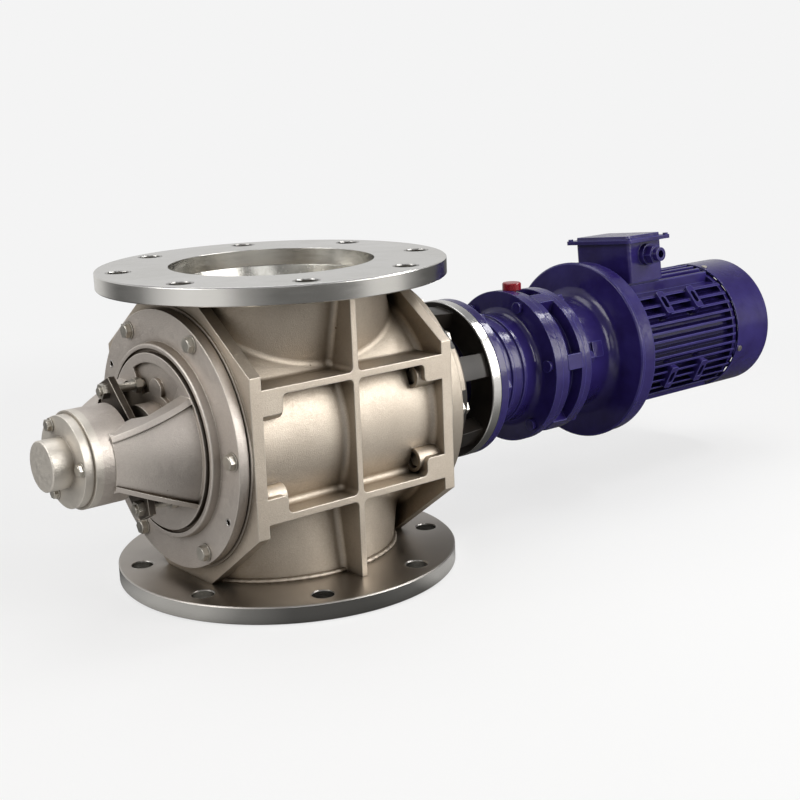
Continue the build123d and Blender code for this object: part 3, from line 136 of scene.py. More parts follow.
def color_mix(tree, factor, first, second):
    """Two colours mixed by a factor. Either may be a plain colour or a socket."""
    made = tree.nodes.new("ShaderNodeMix")
    made.data_type = "RGBA"
    link(tree, factor, made.inputs["Factor"])
    slots = [socket for socket in made.inputs if socket.type == "RGBA"]
    for slot, value in zip(slots, (first, second)):
        if isinstance(value, tuple):
            slot.default_value = (*value, 1)
        else:
            link(tree, value, slot)
    return [socket for socket in made.outputs if socket.type == "RGBA"][0]


def plain_shader(tree, kind, color):
    """A shader of one kind and one colour."""
    made = tree.nodes.new(kind)
    made.inputs["Color"].default_value = (*color, 1)
    return made.outputs[0]


def shader_mix(tree, factor, first, second):
    """The first shader where the factor is zero, and the second where it is one."""
    made = tree.nodes.new("ShaderNodeMixShader")
    for socket, value in zip(made.inputs, (factor, first, second)):
        link(tree, value, socket)
    return made.outputs[0]


def stretches(tree, across, along):
    """Brightness by the direction round the object. A new ramp has two stops, which come first."""
    angle = math_node(tree, "ARCTAN2", along, across)
    share = math_node(tree, "ADD", math_node(tree, "DIVIDE", angle, 2 * pi), 0.5)
    ramp_node = tree.nodes.new("ShaderNodeValToRGB")
    ramp = ramp_node.color_ramp
    for index, (heading, level) in enumerate(mirror_stretches):
        place = heading / 360 + 0.5
        stop = ramp.elements[index] if index < 2 else ramp.elements.new(place)
        stop.position = place
        stop.color = (*(level * part for part in warm), 1)
    link(tree, share, ramp_node.inputs[0])
    return ramp_node.outputs[0]


print("node helpers ready")

# %% [markdown]
# The world has three looks, split by the kind of ray. The camera sees plain paper. Mirrors see the
# stretches, with a pale wall at the back and a dim ceiling over them. All other light is a weak even
# glow, so that the lamps give the shape.

# %% World
world = bpy.data.worlds.new("pale_room")
bpy.context.scene.world = world
world.use_nodes = True
room = world.node_tree
room.nodes.clear()
wall_from, wall_most = (-0.1, 0.5), 0.9
ceiling_from = (0.35, 0.85)
room_rays = room.nodes.new("ShaderNodeLightPath").outputs
direction = room.nodes.new("ShaderNodeSeparateXYZ")
link(room, room.nodes.new("ShaderNodeTexCoord").outputs["Generated"], direction.inputs[0])
round_room = stretches(room, direction.outputs["X"], direction.outputs["Y"])
wall_share = gentle_step(room, direction.outputs["Y"], *wall_from, 0.0, wall_most)
walled = color_mix(room, wall_share, round_room, back_wall)
ceiling_share = gentle_step(room, direction.outputs["Z"], *ceiling_from, 0.0, 1.0)
roofed = color_mix(room, ceiling_share, walled, ceiling)
mirrored = room.nodes.new("ShaderNodeBackground")
link(room, roofed, mirrored.inputs["Color"])
ambient = room.nodes.new("ShaderNodeBackground")
ambient.inputs["Color"].default_value = (1.0, 1.0, 1.0, 1)
ambient.inputs["Strength"].default_value = glow
plain_paper = plain_shader(room, "ShaderNodeBackground", (paper, paper, paper))
lit_room = shader_mix(room, room_rays["Is Glossy Ray"], ambient.outputs[0], mirrored.outputs[0])
room_look = shader_mix(room, room_rays["Is Camera Ray"], lit_room, plain_paper)
link(room, room_look, room.nodes.new("ShaderNodeOutputWorld").inputs["Surface"])
print("world nodes", len(room.nodes))

# %% [markdown]
# The floor has three looks as well. To the camera it is the paper tone with a share of real light and
# shadow near the object, fading into plain paper further off, so no horizon shows. To mirrors it
# carries the same stretches, darker close to the object and behind it, which keeps the painted faces
# deep. To all other light it is a plain grey.

# %% Floor
floor_half = 9
floor_drop = 0.0006
floor_mesh = bpy.data.meshes.new("studio_floor")
corners = [(x * floor_half, y * floor_half, 0) for x, y in ((-1, -1), (1, -1), (1, 1), (-1, 1))]
floor_mesh.from_pydata(corners, [], [(0, 1, 2, 3)])
floor = bpy.data.objects.new("studio_floor", floor_mesh)
floor.location.z = -floor_drop
bpy.context.scene.collection.objects.link(floor)
print("floor", floor.dimensions[:2])

# %% Floor finish
behind_from, behind_most = (0.15, 0.45), 0.85
drive_side_from = (-0.45, -0.2)
close_until = (0.95, 1.3)
level_from, level_near, level_far = (0.20, 0.60), 0.55, 0.95
paper_from, paper_near = (0.55, 1.5), 0.72
floor_paint = bpy.data.materials.new("pale_floor")
floor_paint.use_nodes = True
ground = floor_paint.node_tree
ground.nodes.clear()
floor_rays = ground.nodes.new("ShaderNodeLightPath").outputs
floor_place = ground.nodes.new("ShaderNodeTexCoord").outputs["Object"]
floor_split = ground.nodes.new("ShaderNodeSeparateXYZ")
link(ground, floor_place, floor_split.inputs[0])
floor_x, floor_y = floor_split.outputs["X"], floor_split.outputs["Y"]
floor_length = ground.nodes.new("ShaderNodeVectorMath")
floor_length.operation = "LENGTH"
link(ground, floor_place, floor_length.inputs[0])
away = floor_length.outputs["Value"]
behind = gentle_step(ground, floor_y, *behind_from, 0.0, behind_most)
drive_side = gentle_step(ground, floor_x, *drive_side_from, 0.0, 1.0)
close = gentle_step(ground, away, *close_until, 1.0, 0.0)
dark_patch = math_node(ground, "MULTIPLY", math_node(ground, "MULTIPLY", behind, drive_side), close)
floor_level = gentle_step(ground, away, *level_from, level_near, level_far)
off_patch = math_node(ground, "SUBTRACT", 1.0, dark_patch)
floor_mirror = ground.nodes.new("ShaderNodeEmission")
link(ground, stretches(ground, floor_x, floor_y), floor_mirror.inputs["Color"])
link(ground, math_node(ground, "MULTIPLY", floor_level, off_patch), floor_mirror.inputs["Strength"])
floor_paper = plain_shader(ground, "ShaderNodeEmission", (paper, paper, paper))
floor_matt = plain_shader(ground, "ShaderNodeBsdfDiffuse", (0.55, 0.55, 0.55))
floor_shade = plain_shader(ground, "ShaderNodeBsdfDiffuse", (0.92, 0.92, 0.92))
paper_share = gentle_step(ground, away, *paper_from, paper_near, 1.0)
camera_look = shader_mix(ground, paper_share, floor_shade, floor_paper)
mirror_look = shader_mix(ground, floor_rays["Is Glossy Ray"], floor_matt, floor_mirror.outputs[0])
floor_look = shader_mix(ground, floor_rays["Is Camera Ray"], mirror_look, camera_look)
link(ground, floor_look, ground.nodes.new("ShaderNodeOutputMaterial").inputs["Surface"])
floor_mesh.materials.append(floor_paint)
print("floor nodes", len(ground.nodes))

# %% [markdown]
# Five soft lamps light the object at a plain level: the large one at the right gives the shape, the
# ones at the left and above open the shadows, a weak fill stands behind the camera, and a small one
# puts the gloss on the blue paint.

# %% Lamps
lamp_target = Vector((0.08, 0.0, 0.15))


def softbox(name, heading, reach, height, width, tall, power, tint=(1.0, 1.0, 1.0)):
    """A rectangular lamp at a heading in degrees round the object, facing it."""
    lamp = bpy.data.lights.new(name, "AREA")
    lamp.shape = "RECTANGLE"
    lamp.size = width
    lamp.size_y = tall
    lamp.energy = power
    lamp.color = tint
    body = bpy.data.objects.new(name, lamp)
    body.location = (reach * cos(radians(heading)), reach * sin(radians(heading)), height)
    look = lamp_target - body.location
    body.rotation_euler = look.to_track_quat("-Z", "Y").to_euler()
    bpy.context.scene.collection.objects.link(body)


# name, heading, reach, height, width, tall, power, tint
softbox("right_lamp", -57, 1.70, 0.95, 1.4, 1.3, 27, warm)
softbox("left_lamp", 172, 1.55, 1.25, 1.1, 1.1, 16, warm)
softbox("top_lamp", 60, 0.7, 2.1, 1.6, 1.1, 13)
softbox("fill_lamp", -112, 2.2, 0.8, 1.0, 0.9, 4)
softbox("gloss_lamp", -16, 1.45, 1.55, 0.45, 0.25, 6)
print("lamps", len(bpy.data.lights))

# %% [markdown]
# Finishes
#
# Each finish starts from one shader and gets its detail from noise in object space, so it needs no
# unwrapping and stays in place from every side. The helper below makes a material with its shader,
# a coordinate node, and short calls for noise, masks, ramps and bump.


# %% Finish helper
class Finish:
    """A material with one shader and short calls that add detail to it."""

    def __init__(self, name, color, metallic, roughness):
        self.material = bpy.data.materials.new(name)
        self.material.use_nodes = True
        self.tree = self.material.node_tree
        self.shader = self.tree.nodes["Principled BSDF"]
        self.shader.inputs["Base Color"].default_value = (*color, 1)
        self.shader.inputs["Metallic"].default_value = metallic
        self.shader.inputs["Roughness"].default_value = roughness
        self.place = self.tree.nodes.new("ShaderNodeTexCoord").outputs["Object"]

    def noise(self, scale, detail=3.0, stretch=(1, 1, 1), rough=0.5):
        """Soft random pattern, with a feature size of about one over the scale."""
        mapping = self.tree.nodes.new("ShaderNodeMapping")
        mapping.inputs["Scale"].default_value = stretch
        link(self.tree, self.place, mapping.inputs[0])
        made = self.tree.nodes.new("ShaderNodeTexNoise")
        made.inputs["Scale"].default_value = scale
        made.inputs["Detail"].default_value = detail
        made.inputs["Roughness"].default_value = rough
        link(self.tree, mapping.outputs[0], made.inputs["Vector"])
        return made.outputs["Fac"]

    def rings(self, distance, scale):
        """Fine rings of random height round an axis."""
        made = self.tree.nodes.new("ShaderNodeTexNoise")
        made.noise_dimensions = "1D"
        made.inputs["Scale"].default_value = scale
        made.inputs["Detail"].default_value = 3.0
        link(self.tree, distance, made.inputs["W"])
        return made.outputs["Fac"]

    def remap(self, value, low, high, start=0.3, end=0.7):
        """A value stretched from start..end to low..high. Noise lies mostly in 0.3..0.7."""
        made = self.tree.nodes.new("ShaderNodeMapRange")
        made.inputs["From Min"].default_value = start
        made.inputs["From Max"].default_value = end
        made.inputs["To Min"].default_value = low
        made.inputs["To Max"].default_value = high
        link(self.tree, value, made.inputs["Value"])
        return made.outputs[0]

    def past(self, value, start, end):
        """A mask that is zero before start and one beyond end."""
        return self.remap(value, 0, 1, start, end)

    def share(self, mask, most):
        """A mask that rises to less than one."""
        return self.remap(mask, 0, most, 0, 1)

    def math(self, operation, first, second=0.0):
        """One arithmetic step in this finish."""
        return math_node(self.tree, operation, first, second)

    def times(self, first, second):
        """Two values multiplied, which is also where two masks overlap."""
        return self.math("MULTIPLY", first, second)

    def blend(self, factor, first, second):
        """Two colours mixed by a factor. Either may be a plain colour or a socket."""
        return color_mix(self.tree, factor, first, second)

    def axes(self):
        """The X, Y and Z places in the object's frame."""
        made = self.tree.nodes.new("ShaderNodeSeparateXYZ")
        link(self.tree, self.place, made.inputs[0])
        return made.outputs["X"], made.outputs["Y"], made.outputs["Z"]

    def radius(self, across, along):
        """Distance from an axis, from the two places across it."""
        squares = [self.times(value, value) for value in (across, along)]
        return self.math("SQRT", self.math("ADD", *squares))

    def face_normal(self):
        """The direction that the surface faces."""
        return self.tree.nodes.new("ShaderNodeNewGeometry").outputs["Normal"]

    def normal_z(self):
        """How far the surface faces up or down, from minus one to one."""
        made = self.tree.nodes.new("ShaderNodeSeparateXYZ")
        link(self.tree, self.face_normal(), made.inputs[0])
        return made.outputs["Z"]

    def dot(self, first, second):
        """How far two directions agree."""
        made = self.tree.nodes.new("ShaderNodeVectorMath")
        made.operation = "DOT_PRODUCT"
        link(self.tree, first, made.inputs[0])
        link(self.tree, second, made.inputs[1])
        return made.outputs["Value"]

    def soft_edges(self, radius):
        """Normals that are rounded over near edges, as on a casting or a coat of paint."""
        made = self.tree.nodes.new("ShaderNodeBevel")
        made.samples = 6
        made.inputs["Radius"].default_value = radius
        return made.outputs[0]

    def edge_mask(self, soft):
        """One on the edges that soft_edges rounds, and zero on the open faces."""
        return self.past(self.dot(soft, self.face_normal()), 0.995, 0.90)

    def crevice(self, distance, start=0.75, end=0.30):
        """One deep in corners and gaps, and zero in the open."""
        made = self.tree.nodes.new("ShaderNodeAmbientOcclusion")
        made.samples = 6
        made.inputs["Distance"].default_value = distance
        return self.past(made.outputs["AO"], start, end)

    def bump(self, value, strength, distance, under=None):
        """Raise the surface by a pattern. Under is the normal that it adds to."""
        made = self.tree.nodes.new("ShaderNodeBump")
        made.inputs["Strength"].default_value = strength
        made.inputs["Distance"].default_value = distance
        link(self.tree, value, made.inputs["Height"])
        if under is not None:
            link(self.tree, under, made.inputs["Normal"])
        return made.outputs[0]

    def paint(self, color):
        """Set the base colour from a socket."""
        link(self.tree, color, self.shader.inputs["Base Color"])

    def rough(self, value):
        """Set the roughness from a socket."""
        link(self.tree, value, self.shader.inputs["Roughness"])

    def shape(self, normal):
        """Set the shader's normal."""
        link(self.tree, normal, self.shader.inputs["Normal"])


finishes = {}
print("finish helper ready")

# %% [markdown]
# Bead-blasted casting
#
# The valve body is cast stainless steel, blasted with glass beads: a satin metal with a warm grey
# tone. The end covers are blasted after turning, so they are a cooler grey, the bearing cap is
# paler, and the cover at the drive side gets a brown painted shade. Edges are worn a little brighter.
# One finish serves all of these, with masks by the place along X, each with its start and its end.

# %% Cast stainless, the tones
cover_from = (-0.116, -0.120)
cap_from = (-0.2185, -0.2200)
drive_cover_from = (0.1165, 0.1195)
cast = Finish("cast_stainless", (0.58, 0.52, 0.44), 1.0, 0.40)
cast_x, cast_y, cast_z = cast.axes()
cast_soft = cast.soft_edges(0.0014)
speckle = cast.remap(cast.noise(620, 2, rough=0.7), -0.35, 0.35)
patches = cast.math("ADD", cast.remap(cast.noise(26, 4), 0.15, 0.85), speckle)
body_tone = cast.blend(patches, (0.56, 0.49, 0.41), (0.67, 0.60, 0.51))
cover_tone = cast.blend(patches, (0.58, 0.53, 0.49), (0.66, 0.61, 0.56))
cast_tone = cast.blend(cast.past(cast_x, *cover_from), body_tone, cover_tone)
cast_tone = cast.blend(cast.past(cast_x, *cap_from), cast_tone, (0.72, 0.68, 0.62))
worn = cast.share(cast.edge_mask(cast_soft), 0.6)
cast_tone = cast.blend(worn, cast_tone, (0.84, 0.80, 0.73))
# Painted shade: the cover at the drive side is painted a darker brown.
cast_tone = cast.blend(cast.past(cast_x, *drive_cover_from), cast_tone, (0.40, 0.355, 0.30))
print("cast tones by place", cover_from, cap_from, drive_cover_from)

# %% [markdown]
# A casting keeps a few small pits, and its corners get a brown painted shade. The pits are the
# middles of random cells, and only every fifth cell or so has one. The painted shade comes twice:
# wide and weak under the flanges, narrow and dark in the corners.

# %% Cast stainless, pits and corners
pits = cast.tree.nodes.new("ShaderNodeTexVoronoi")
pits.inputs["Scale"].default_value = 42
link(cast.tree, cast.place, pits.inputs["Vector"])
pit_spot = cast.remap(pits.outputs["Distance"], 1, 0, 0.035, 0.055)
pit_pick = cast.tree.nodes.new("ShaderNodeSeparateColor")
link(cast.tree, pits.outputs["Color"], pit_pick.inputs[0])
pitted = cast.times(pit_spot, cast.past(pit_pick.outputs[0], 0.80, 0.82))
cast_tone = cast.blend(cast.times(pitted, 0.8), cast_tone, (0.10, 0.08, 0.06))
# Painted shade: wide and weak under the flanges, then narrow and dark in the corners.
wide_painted_shade = cast.share(cast.crevice(0.085, 0.62, 0.22), 0.85)
cast_tone = cast.blend(wide_painted_shade, cast_tone, (0.20, 0.16, 0.115))
cast_tone = cast.blend(cast.crevice(0.012), cast_tone, (0.11, 0.083, 0.058))
print("cast nodes so far", len(cast.tree.nodes))

# %% [markdown]
# The throats are bored, so they mirror the light. Three masks meet there: inside the bore's radius,
# on faces that look towards the throat's axis, and far enough above or below the rotor. The bored
# faces have no grain, and all others get a fine one over a gentle waviness.

# %% Cast stainless, bored throats and grain
throat_radius = (0.1012, 0.1016)
throat_from = (0.1085, 0.1095)
inward_from = (-0.01, -0.03)
in_throat = cast.remap(cast.radius(cast_x, cast_y), 1, 0, *throat_radius)
level_part = cast.times(cast.normal_z(), cast_z)
outward = cast.math("SUBTRACT", cast.dot(cast.face_normal(), cast.place), level_part)
from_rotor = cast.math("ABSOLUTE", cast.math("SUBTRACT", cast_z, axis_height))
facing_in = cast.times(in_throat, cast.past(outward, *inward_from))
bored = cast.times(facing_in, cast.past(from_rotor, *throat_from))
cast.paint(cast.blend(bored, cast_tone, (0.52, 0.51, 0.475)))
satin = cast.remap(cast.noise(260, 3), 0.45, 0.56)
cast.rough(cast.math("ADD", satin, cast.times(bored, -0.27)))
cast_skin = cast.bump(cast.noise(90, 3), 0.07, 0.0012, cast_soft)
grain = cast.times(cast.noise(1000, 2), cast.math("SUBTRACT", 1.0, bored))
cast.shape(cast.bump(grain, 0.45, 0.0006, cast_skin))
finishes["cast_stainless"] = cast
print("cast nodes", len(cast.tree.nodes))

# %% [markdown]
# Turned stainless
#
# The flanges are turned on a lathe, which leaves fine rings round their axis. Rings blur a
# reflection across them and keep it sharp along them, so the shader gets a tangent that runs round Z
# and an anisotropic gloss. Random rings of height add the marks that the eye can see. The lower
# flange's level faces are rougher than the upper one's, and they get a brown painted shade.

# %% Turned stainless
low_flange_top = (0.02, 0.03)
steel = Finish("machined_stainless", (0.70, 0.69, 0.66), 1.0, 0.26)
steel_x, steel_y, steel_z = steel.axes()
level_face = steel.math("ABSOLUTE", steel.normal_z())
face_rings = steel.times(steel.rings(steel.radius(steel_x, steel_y), 1400), level_face)
rim_rings = steel.rings(steel_z, 1500)
polish = steel.remap(steel.noise(40, 3, (1, 1, 8)), 0.15, 0.22)
dusty = steel.times(steel.remap(steel_z, 0.19, 0.05, *low_flange_top), level_face)
steel.rough(steel.math("ADD", polish, dusty))
steel_tone = steel.blend(steel.remap(steel.noise(9, 3), 0, 1), (0.64, 0.63, 0.60), (0.74, 0.73, 0.71))
steel_soft = steel.soft_edges(0.0007)
steel_tone = steel.blend(steel.edge_mask(steel_soft), steel_tone, (0.92, 0.91, 0.89))
# Painted shade: the lower flange's level faces are painted a darker brown.
low_face_shade = steel.times(steel.remap(steel_z, 1, 0, *low_flange_top), level_face)
steel_tone = steel.blend(steel.times(low_face_shade, 0.75), steel_tone, (0.34, 0.30, 0.26))
# Painted shade: corners and gaps of the turned steel are painted dark.
steel_tone = steel.blend(steel.crevice(0.020, 0.70, 0.20), steel_tone, (0.10, 0.085, 0.065))
steel.paint(steel_tone)
face_marks = steel.bump(face_rings, 0.06, 0.0001, steel_soft)
steel.shape(steel.bump(rim_rings, 0.06, 0.0002, face_marks))
steel.shader.inputs["Anisotropic"].default_value = 0.35
lathe = steel.tree.nodes.new("ShaderNodeTangent")
lathe.direction_type = "RADIAL"
lathe.axis = "Z"
link(steel.tree, lathe.outputs[0], steel.shader.inputs["Tangent"])
finishes["machined_stainless"] = steel
print("turned nodes", len(steel.tree.nodes))

# %% [markdown]
# Violet-blue gloss paint
#
# The gearbox and the motor wear one thick coat of gloss paint over rough castings. Under the gloss
# the casting still shows as a gentle orange-peel waviness.

# %% Blue paint
blue = Finish("blue_paint", (0.020, 0.013, 0.092), 0.0, 0.17)
blue_soft = blue.soft_edges(0.0016)
blue_tone = blue.blend(blue.remap(blue.noise(30, 3), 0, 1), (0.017, 0.010, 0.080), (0.027, 0.019, 0.125))
# Painted highlight: the edges are painted a lighter blue.
blue_tone = blue.blend(blue.edge_mask(blue_soft), blue_tone, (0.060, 0.055, 0.24))
# Painted shade: corners and gaps are painted a near-black blue.
blue.paint(blue.blend(blue.crevice(0.012, 0.6, 0.15), blue_tone, (0.006, 0.004, 0.028)))
blue.rough(blue.remap(blue.noise(80, 2), 0.13, 0.24))
blue.shape(blue.bump(blue.noise(170, 3), 0.22, 0.0010, blue_soft))
finishes["blue_paint"] = blue
print("blue nodes", len(blue.tree.nodes))

# %% [markdown]
# Black lantern
#
# The lantern between the valve and the gearbox is painted black, but the rim of its disc is left
# bare from turning, and shines silver. A mask by the distance from the rotor's axis splits the two.

# %% Black paint
rim_radius = (0.0850, 0.0853)
disc_from = (0.2097, 0.2100)
black = Finish("black_paint", (0.016, 0.013, 0.011), 0.0, 0.34)
black_x, black_y, black_z = black.axes()
off_axis = black.radius(black_y, black.math("SUBTRACT", black_z, axis_height))
bare = black.times(black.past(off_axis, *rim_radius), black.past(black_x, *disc_from))
coat = black.blend(black.remap(black.noise(40, 3), 0, 1), (0.010, 0.008, 0.007), (0.024, 0.020, 0.016))
black.paint(black.blend(bare, coat, (0.70, 0.69, 0.67)))
link(black.tree, bare, black.shader.inputs["Metallic"])
black.rough(black.remap(bare, 0.34, 0.20, 0, 1))
black.shape(black.bump(black.noise(300, 2), 0.12, 0.0005, black.soft_edges(0.0010)))
finishes["black_paint"] = black
print("black nodes", len(black.tree.nodes))

# %% [markdown]
# Small metal and plastic parts
#
# Bolts are zinc plated, bearing rings are ground, the breather is a red plastic cap. Each is a
# variation of the same recipe, so one loop makes them all from a short table of colour, metal share,
# roughness and strength of grain.

# %% Small finishes
small = {
    "zinc_fastener": ((0.62, 0.59, 0.53), 1.0, 0.36, 0.03),
    "bearing_steel": ((0.62, 0.62, 0.64), 1.0, 0.16, 0.04),
    "gasket_fibre": ((0.030, 0.026, 0.022), 0.0, 0.85, 0.30),
    "packing_cord": ((0.32, 0.28, 0.19), 0.0, 0.80, 0.50),
    "seal_rubber": ((0.014, 0.014, 0.015), 0.0, 0.55, 0.20),
    "laminated_core": ((0.20, 0.20, 0.22), 0.9, 0.45, 0.30),
    "copper_winding": ((0.60, 0.24, 0.09), 0.9, 0.35, 0.30),
    "fan_plastic": ((0.020, 0.020, 0.024), 0.0, 0.45, 0.15),
    "red_plastic": ((0.26, 0.008, 0.016), 0.0, 0.26, 0.05),
    "board_plastic": ((0.045, 0.024, 0.012), 0.0, 0.42, 0.10),
}
for name, (color, metallic, roughness, strength) in small.items():
    made = Finish(name, color, metallic, roughness)
    darker = tuple(0.82 * part for part in color)
    # Painted shade: corners and gaps get a darker copy of the colour.
    painted_corner_shade = tuple(0.3 * part for part in color)
    tone = made.blend(made.remap(made.noise(70, 3), 0, 1), darker, color)
    made.paint(made.blend(made.crevice(0.004, 0.6, 0.2), tone, painted_corner_shade))
    made.rough(made.remap(made.noise(160, 2), roughness * 0.85, min(1.0, roughness * 1.2)))
    made.shape(made.bump(made.noise(700, 2), strength, 0.0003, made.soft_edges(0.0004)))
    finishes[name] = made
print("finishes", sorted(finishes))

# %% [markdown]
# Dark casting
#
# The gland is a small casting, drawn almost black in painted shade, with painted highlights on edges.

# %% Gland finish
dark = Finish("painted_shade_casting", (0.11, 0.095, 0.08), 0.85, 0.45)
dark_soft = dark.soft_edges(0.0012)
# Painted shade: the whole gland is a near-black copy of the casting.
dark_tone = dark.blend(dark.remap(dark.noise(60, 3), 0, 1), (0.075, 0.062, 0.052), (0.15, 0.13, 0.11))
# Painted highlight: its edges are painted pale.
dark.paint(dark.blend(dark.edge_mask(dark_soft), dark_tone, (0.50, 0.46, 0.40)))
dark.shape(dark.bump(dark.noise(500, 2), 0.25, 0.0005, dark_soft))
finishes["painted_shade_casting"] = dark
print("dark nodes", len(dark.tree.nodes))

# %% [markdown]
# The record of the part names a material slot for each node, and each slot has the finish of the
# same name. Only the gland differs: its slot is that of the turned steel, but it gets the near-black
# casting with painted shade.

# %% Put the finishes on the solids
slot_of = {part["node"]: part["material_slot"] for part in frame["record"]["subparts"]}
for name, piece in nodes.items():
    piece.data.materials.clear()
    finish_name = "painted_shade_casting" if name == "packing_gland" else slot_of[name]
    piece.data.materials.append(finishes[finish_name].material)
print("dressed", len(nodes))

# %% [markdown]
# Small pieces by lathe
#
# Washers, bolt tops, weld beads and hole lips are all round things: a small outline carried round an
# axis. One helper spins an outline round X or Z, and another joins many of them to one piece with
# its finish and its body, smooth but for the edges where its faces turn sharply.


# %% Spun pieces
sharp_turn = radians(35)


def joined(name, parts, slot, body="housing"):
    """One mesh piece from lists of points and faces, with its finish and its body."""
    points, faces = [], []
    for part_points, part_faces in parts:
        start = len(points)
        points.extend(part_points)
        faces.extend(tuple(start + corner for corner in face) for face in part_faces)
    mesh = bpy.data.meshes.new(name)
    mesh.from_pydata(points, [], faces)
    mesh.validate()
    shell = bmesh.new()
    shell.from_mesh(mesh)
    bmesh.ops.recalc_face_normals(shell, faces=shell.faces)
    for face in shell.faces:
        face.smooth = True
    shell.to_mesh(mesh)
    shell.free()
    mesh.set_sharp_from_angle(angle=sharp_turn)
    mesh.materials.append(finishes[slot].material)
    piece = bpy.data.objects.new(name, mesh)
    bpy.context.scene.collection.objects.link(piece)
    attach(piece, body)
    print(name, len(points), "points")


def spin(outline, centre, axis="X", steps=40, swell=None, stretch=(1, 1)):
    """Carry a closed outline of (radius, place along) pairs in millimetres round an axis."""
    points = []
    for step in range(steps):
        turn = 2 * pi * step / steps
        more = swell(turn) if swell else 0.0
        for radius, along in outline:
            across = (radius + more) * cos(turn) * stretch[0] / 1000
            up = (radius + more) * sin(turn) * stretch[1] / 1000
            place = (along / 1000, across, up) if axis == "X" else (across, up, along / 1000)
            points.append(tuple(a + b for a, b in zip(place, centre)))
    size = len(outline)
    faces = []
    for step in range(steps):
        here, there = step * size, (step + 1) % steps * size
        for corner in range(size):
            nearby = (corner + 1) % size
            faces.append((here + corner, there + corner, there + nearby, here + nearby))
    return points, faces


def on_circle(circle, count, first, middle=axis_height):
    """Places on a circle in millimetres round an axis, seen along it, in metres."""
    for index in range(count):
        turn = radians(first + index * 360 / count)
        yield circle * cos(turn) / 1000, middle + circle * sin(turn) / 1000


def reach(node, axis, side):
    """Where a node ends along an axis, in millimetres. The side is 0 for low and 1 for high."""
    return round(1000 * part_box(node)[side]["XYZ".index(axis)], 2)


print("lathe helpers ready")

# %% [markdown]
# Each cover bolt sits on a washer, and its head is turned to a low cone on top, which rounds the
# corners of the hexagon. Both are drawn from the width over the head's flats and from the face that
# the head sits on.

# %% Washers and bolt tops
cover_bolts = {
    "outboard_cover_bolts": {"way": -1, "circle": 113.0, "count": 6, "first": 0, "flats": 13.0, "head": 6.0},
    "drive_cover_bolts": {"way": 1, "circle": 113.0, "count": 6, "first": 0, "flats": 13.0, "head": 6.0},
    "cap_screws": {"way": -1, "circle": 36.5, "count": 3, "first": 180, "flats": 10.0, "head": 4.5},
}


def washer_outline(flats, way):
    """A flat ring with a broken edge, a hair above the face."""
    inner, rim = flats * 0.33, flats * 0.64
    low, middle, high = 0.05 * way, 0.5 * way, 1.1 * way
    return [(inner, low), (rim, low), (rim + 0.2, middle), (rim, high), (inner, high)]


def top_outline(flats, head, way):
    """A low cone on a head."""
    inner, edge, crown = 0.2, flats * 0.47, flats * 0.43
    return [(inner, head * way), (edge, head * way), (crown, (head + 0.5) * way), (inner, (head + 0.6) * way)]


washers, tops = [], []
for node, bolt in cover_bolts.items():
    way, head = bolt["way"], bolt["head"]
    face_x = reach(node, "X", max(way, 0)) - head * way
    for across, up in on_circle(bolt["circle"], bolt["count"], bolt["first"]):
        centre = (face_x / 1000, across, up)
        washers.append(spin(washer_outline(bolt["flats"], way), centre))
        tops.append(spin(top_outline(bolt["flats"], head, way), centre))
joined("cover_washers", washers, "zinc_fastener")
joined("bolt_tops", tops, "zinc_fastener")

# %% [markdown]
# The connection flanges are welded to the necks from outside. A weld bead is a small half-round
# that swells and sinks as the welder moves, so its radius follows a sum of waves round the joint.
# The outlet neck's foot is wider along the rotor than across it, so its bead is stretched.

# %% Weld beads
bead_radius = 3.0
bead_lift = 1.0
outlet_neck, outlet_stretch = 100.6, 1.1175
inlet_neck = 107.4
outlet_joint = reach("outlet_flange", "Z", 1) + bead_lift
inlet_joint = reach("inlet_flange", "Z", 0) - bead_lift
bead_round = [radians(turn) for turn in range(-30, 330, 40)]
waves = ((0.25, 71, 0.0), (0.18, 113, 1.3), (0.15, 13, 0.4))


def bead_swell(turn):
    """How far the bead bulges at an angle, in millimetres, as a sum of waves round the joint."""
    return sum(height * sin(count * turn + shift) for height, count, shift in waves)


def bead(neck, joint, stretch):
    """A bead round a neck, at the height of its joint."""
    outline = [(neck + bead_radius * cos(turn), joint + bead_radius * sin(turn)) for turn in bead_round]
    return spin(outline, (0, 0, 0), "Z", steps=360, swell=bead_swell, stretch=(stretch, 1.0))


beads = [bead(outlet_neck, outlet_joint, outlet_stretch), bead(inlet_neck, inlet_joint, 1.0)]
joined("weld_beads", beads, "cast_stainless")

# %% [markdown]
# The flange holes are countersunk by a hair after drilling. That bright ring is what the eye catches
# first, so each hole gets a narrow lip of polished metal on both faces. On the faces that look at
# the valve body it stands a little proud, and on the outer faces it is flush. The outboard cover has
# two threaded holes, for the screws that press it off its seat, and they get a lip as well.

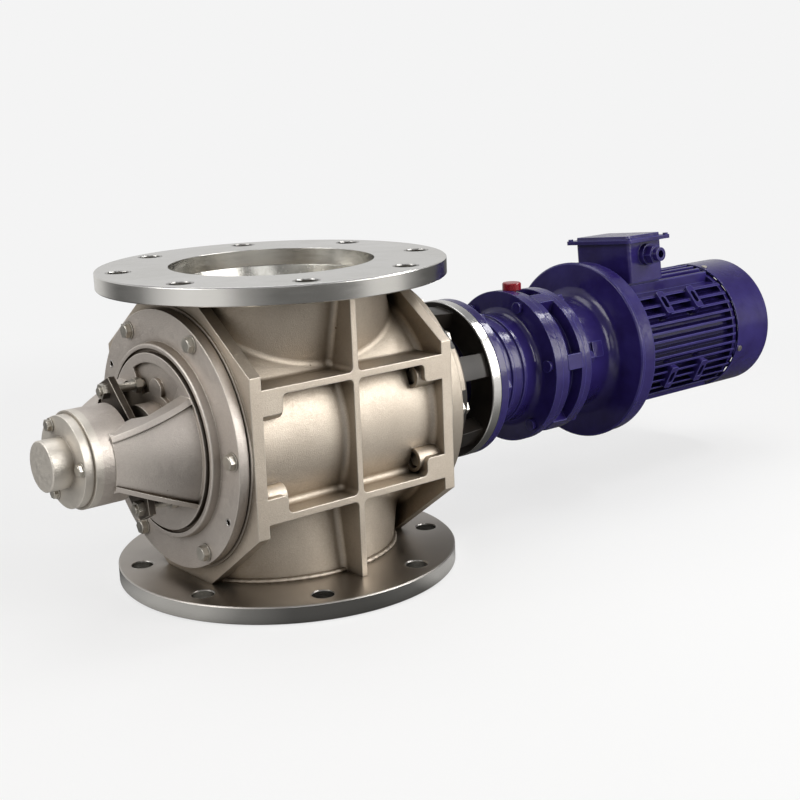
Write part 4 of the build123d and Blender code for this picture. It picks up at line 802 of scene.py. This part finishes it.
# %% Hole lips
flange_circle, flange_holes, flange_first = 147.5, 8, 22.5
flange_hole = 11.0
jack_circle, jack_first, jack_hole = 115.0, 31.0, 3.0
cover_face = reach("outboard_cover_bolts", "X", 0) + cover_bolts["outboard_cover_bolts"]["head"]
proud_lip = 0.12
flange_faces = (
    (reach("outlet_flange", "Z", 0), -1, 0.0),
    (reach("outlet_flange", "Z", 1), 1, proud_lip),
    (reach("inlet_flange", "Z", 0), -1, proud_lip),
    (reach("inlet_flange", "Z", 1), 1, 0.0),
)
lips = []
for level, way, proud in flange_faces:
    lip = [
        (flange_hole + 0.2, level - 1.4 * way), (flange_hole + 1.4, level - 0.2 * way),
        (flange_hole + 1.3, level), (flange_hole + 0.7, level + proud * way),
        (flange_hole - 0.3, level - 0.9 * way),
    ]
    for x, y in on_circle(flange_circle, flange_holes, flange_first, 0.0):
        lips.append(spin(lip, (x, y, 0), "Z"))
jack_lip = [
    (jack_hole - 0.3, cover_face + 0.6), (jack_hole + 0.7, cover_face + 0.05),
    (jack_hole + 0.8, cover_face - 0.1), (jack_hole + 0.4, cover_face - 0.1),
    (jack_hole - 0.5, cover_face + 0.6),
]
for across, up in on_circle(jack_circle, 2, jack_first):
    lips.append(spin(jack_lip, (0, across, up), steps=28))
joined("hole_lips", lips, "machined_stainless")

# %% [markdown]
# The gland studs are threaded for their whole length. A thread is a ridge that climbs by one pitch in
# each turn, so it is drawn as a long strip with a sharp crest along a screw line, closed at both
# ends. It is made where a stud can be seen: beyond its nut, and between the gland and the cover.

# %% Stud threads
stud_circle, stud_first = 57.0, 64.0
stud_radius, pitch, crest = 3.95, 1.25, 0.35
half_tooth = 0.42 * pitch
open_stretches = ((-183.2, -181.6), (-167.8, -146.8))
teeth_round = 18


def thread(start, end, centre):
    """A screw ridge along X from start to end, in millimetres."""
    points, faces = [], []
    count = int((end - start) / pitch * teeth_round)
    for step in range(count + 1):
        turn = 2 * pi * step / teeth_round
        along = start + (end - start) * step / count
        for out, side in ((0.0, -half_tooth), (crest, 0.0), (0.0, half_tooth)):
            across = (stud_radius + out) * cos(turn) / 1000
            up = (stud_radius + out) * sin(turn) / 1000
            points.append(((along + side) / 1000, centre[0] + across, centre[1] + up))
    for step in range(count):
        here = step * 3
        faces.append((here, here + 3, here + 4, here + 1))
        faces.append((here + 1, here + 4, here + 5, here + 2))
        faces.append((here + 2, here + 5, here + 3, here))
    faces.append((0, 1, 2))
    faces.append((count * 3 + 2, count * 3 + 1, count * 3))
    return points, faces


places = on_circle(stud_circle, 2, stud_first)
threads = [thread(start, end, centre) for centre in places for start, end in open_stretches]
joined("stud_threads", threads, "zinc_fastener")
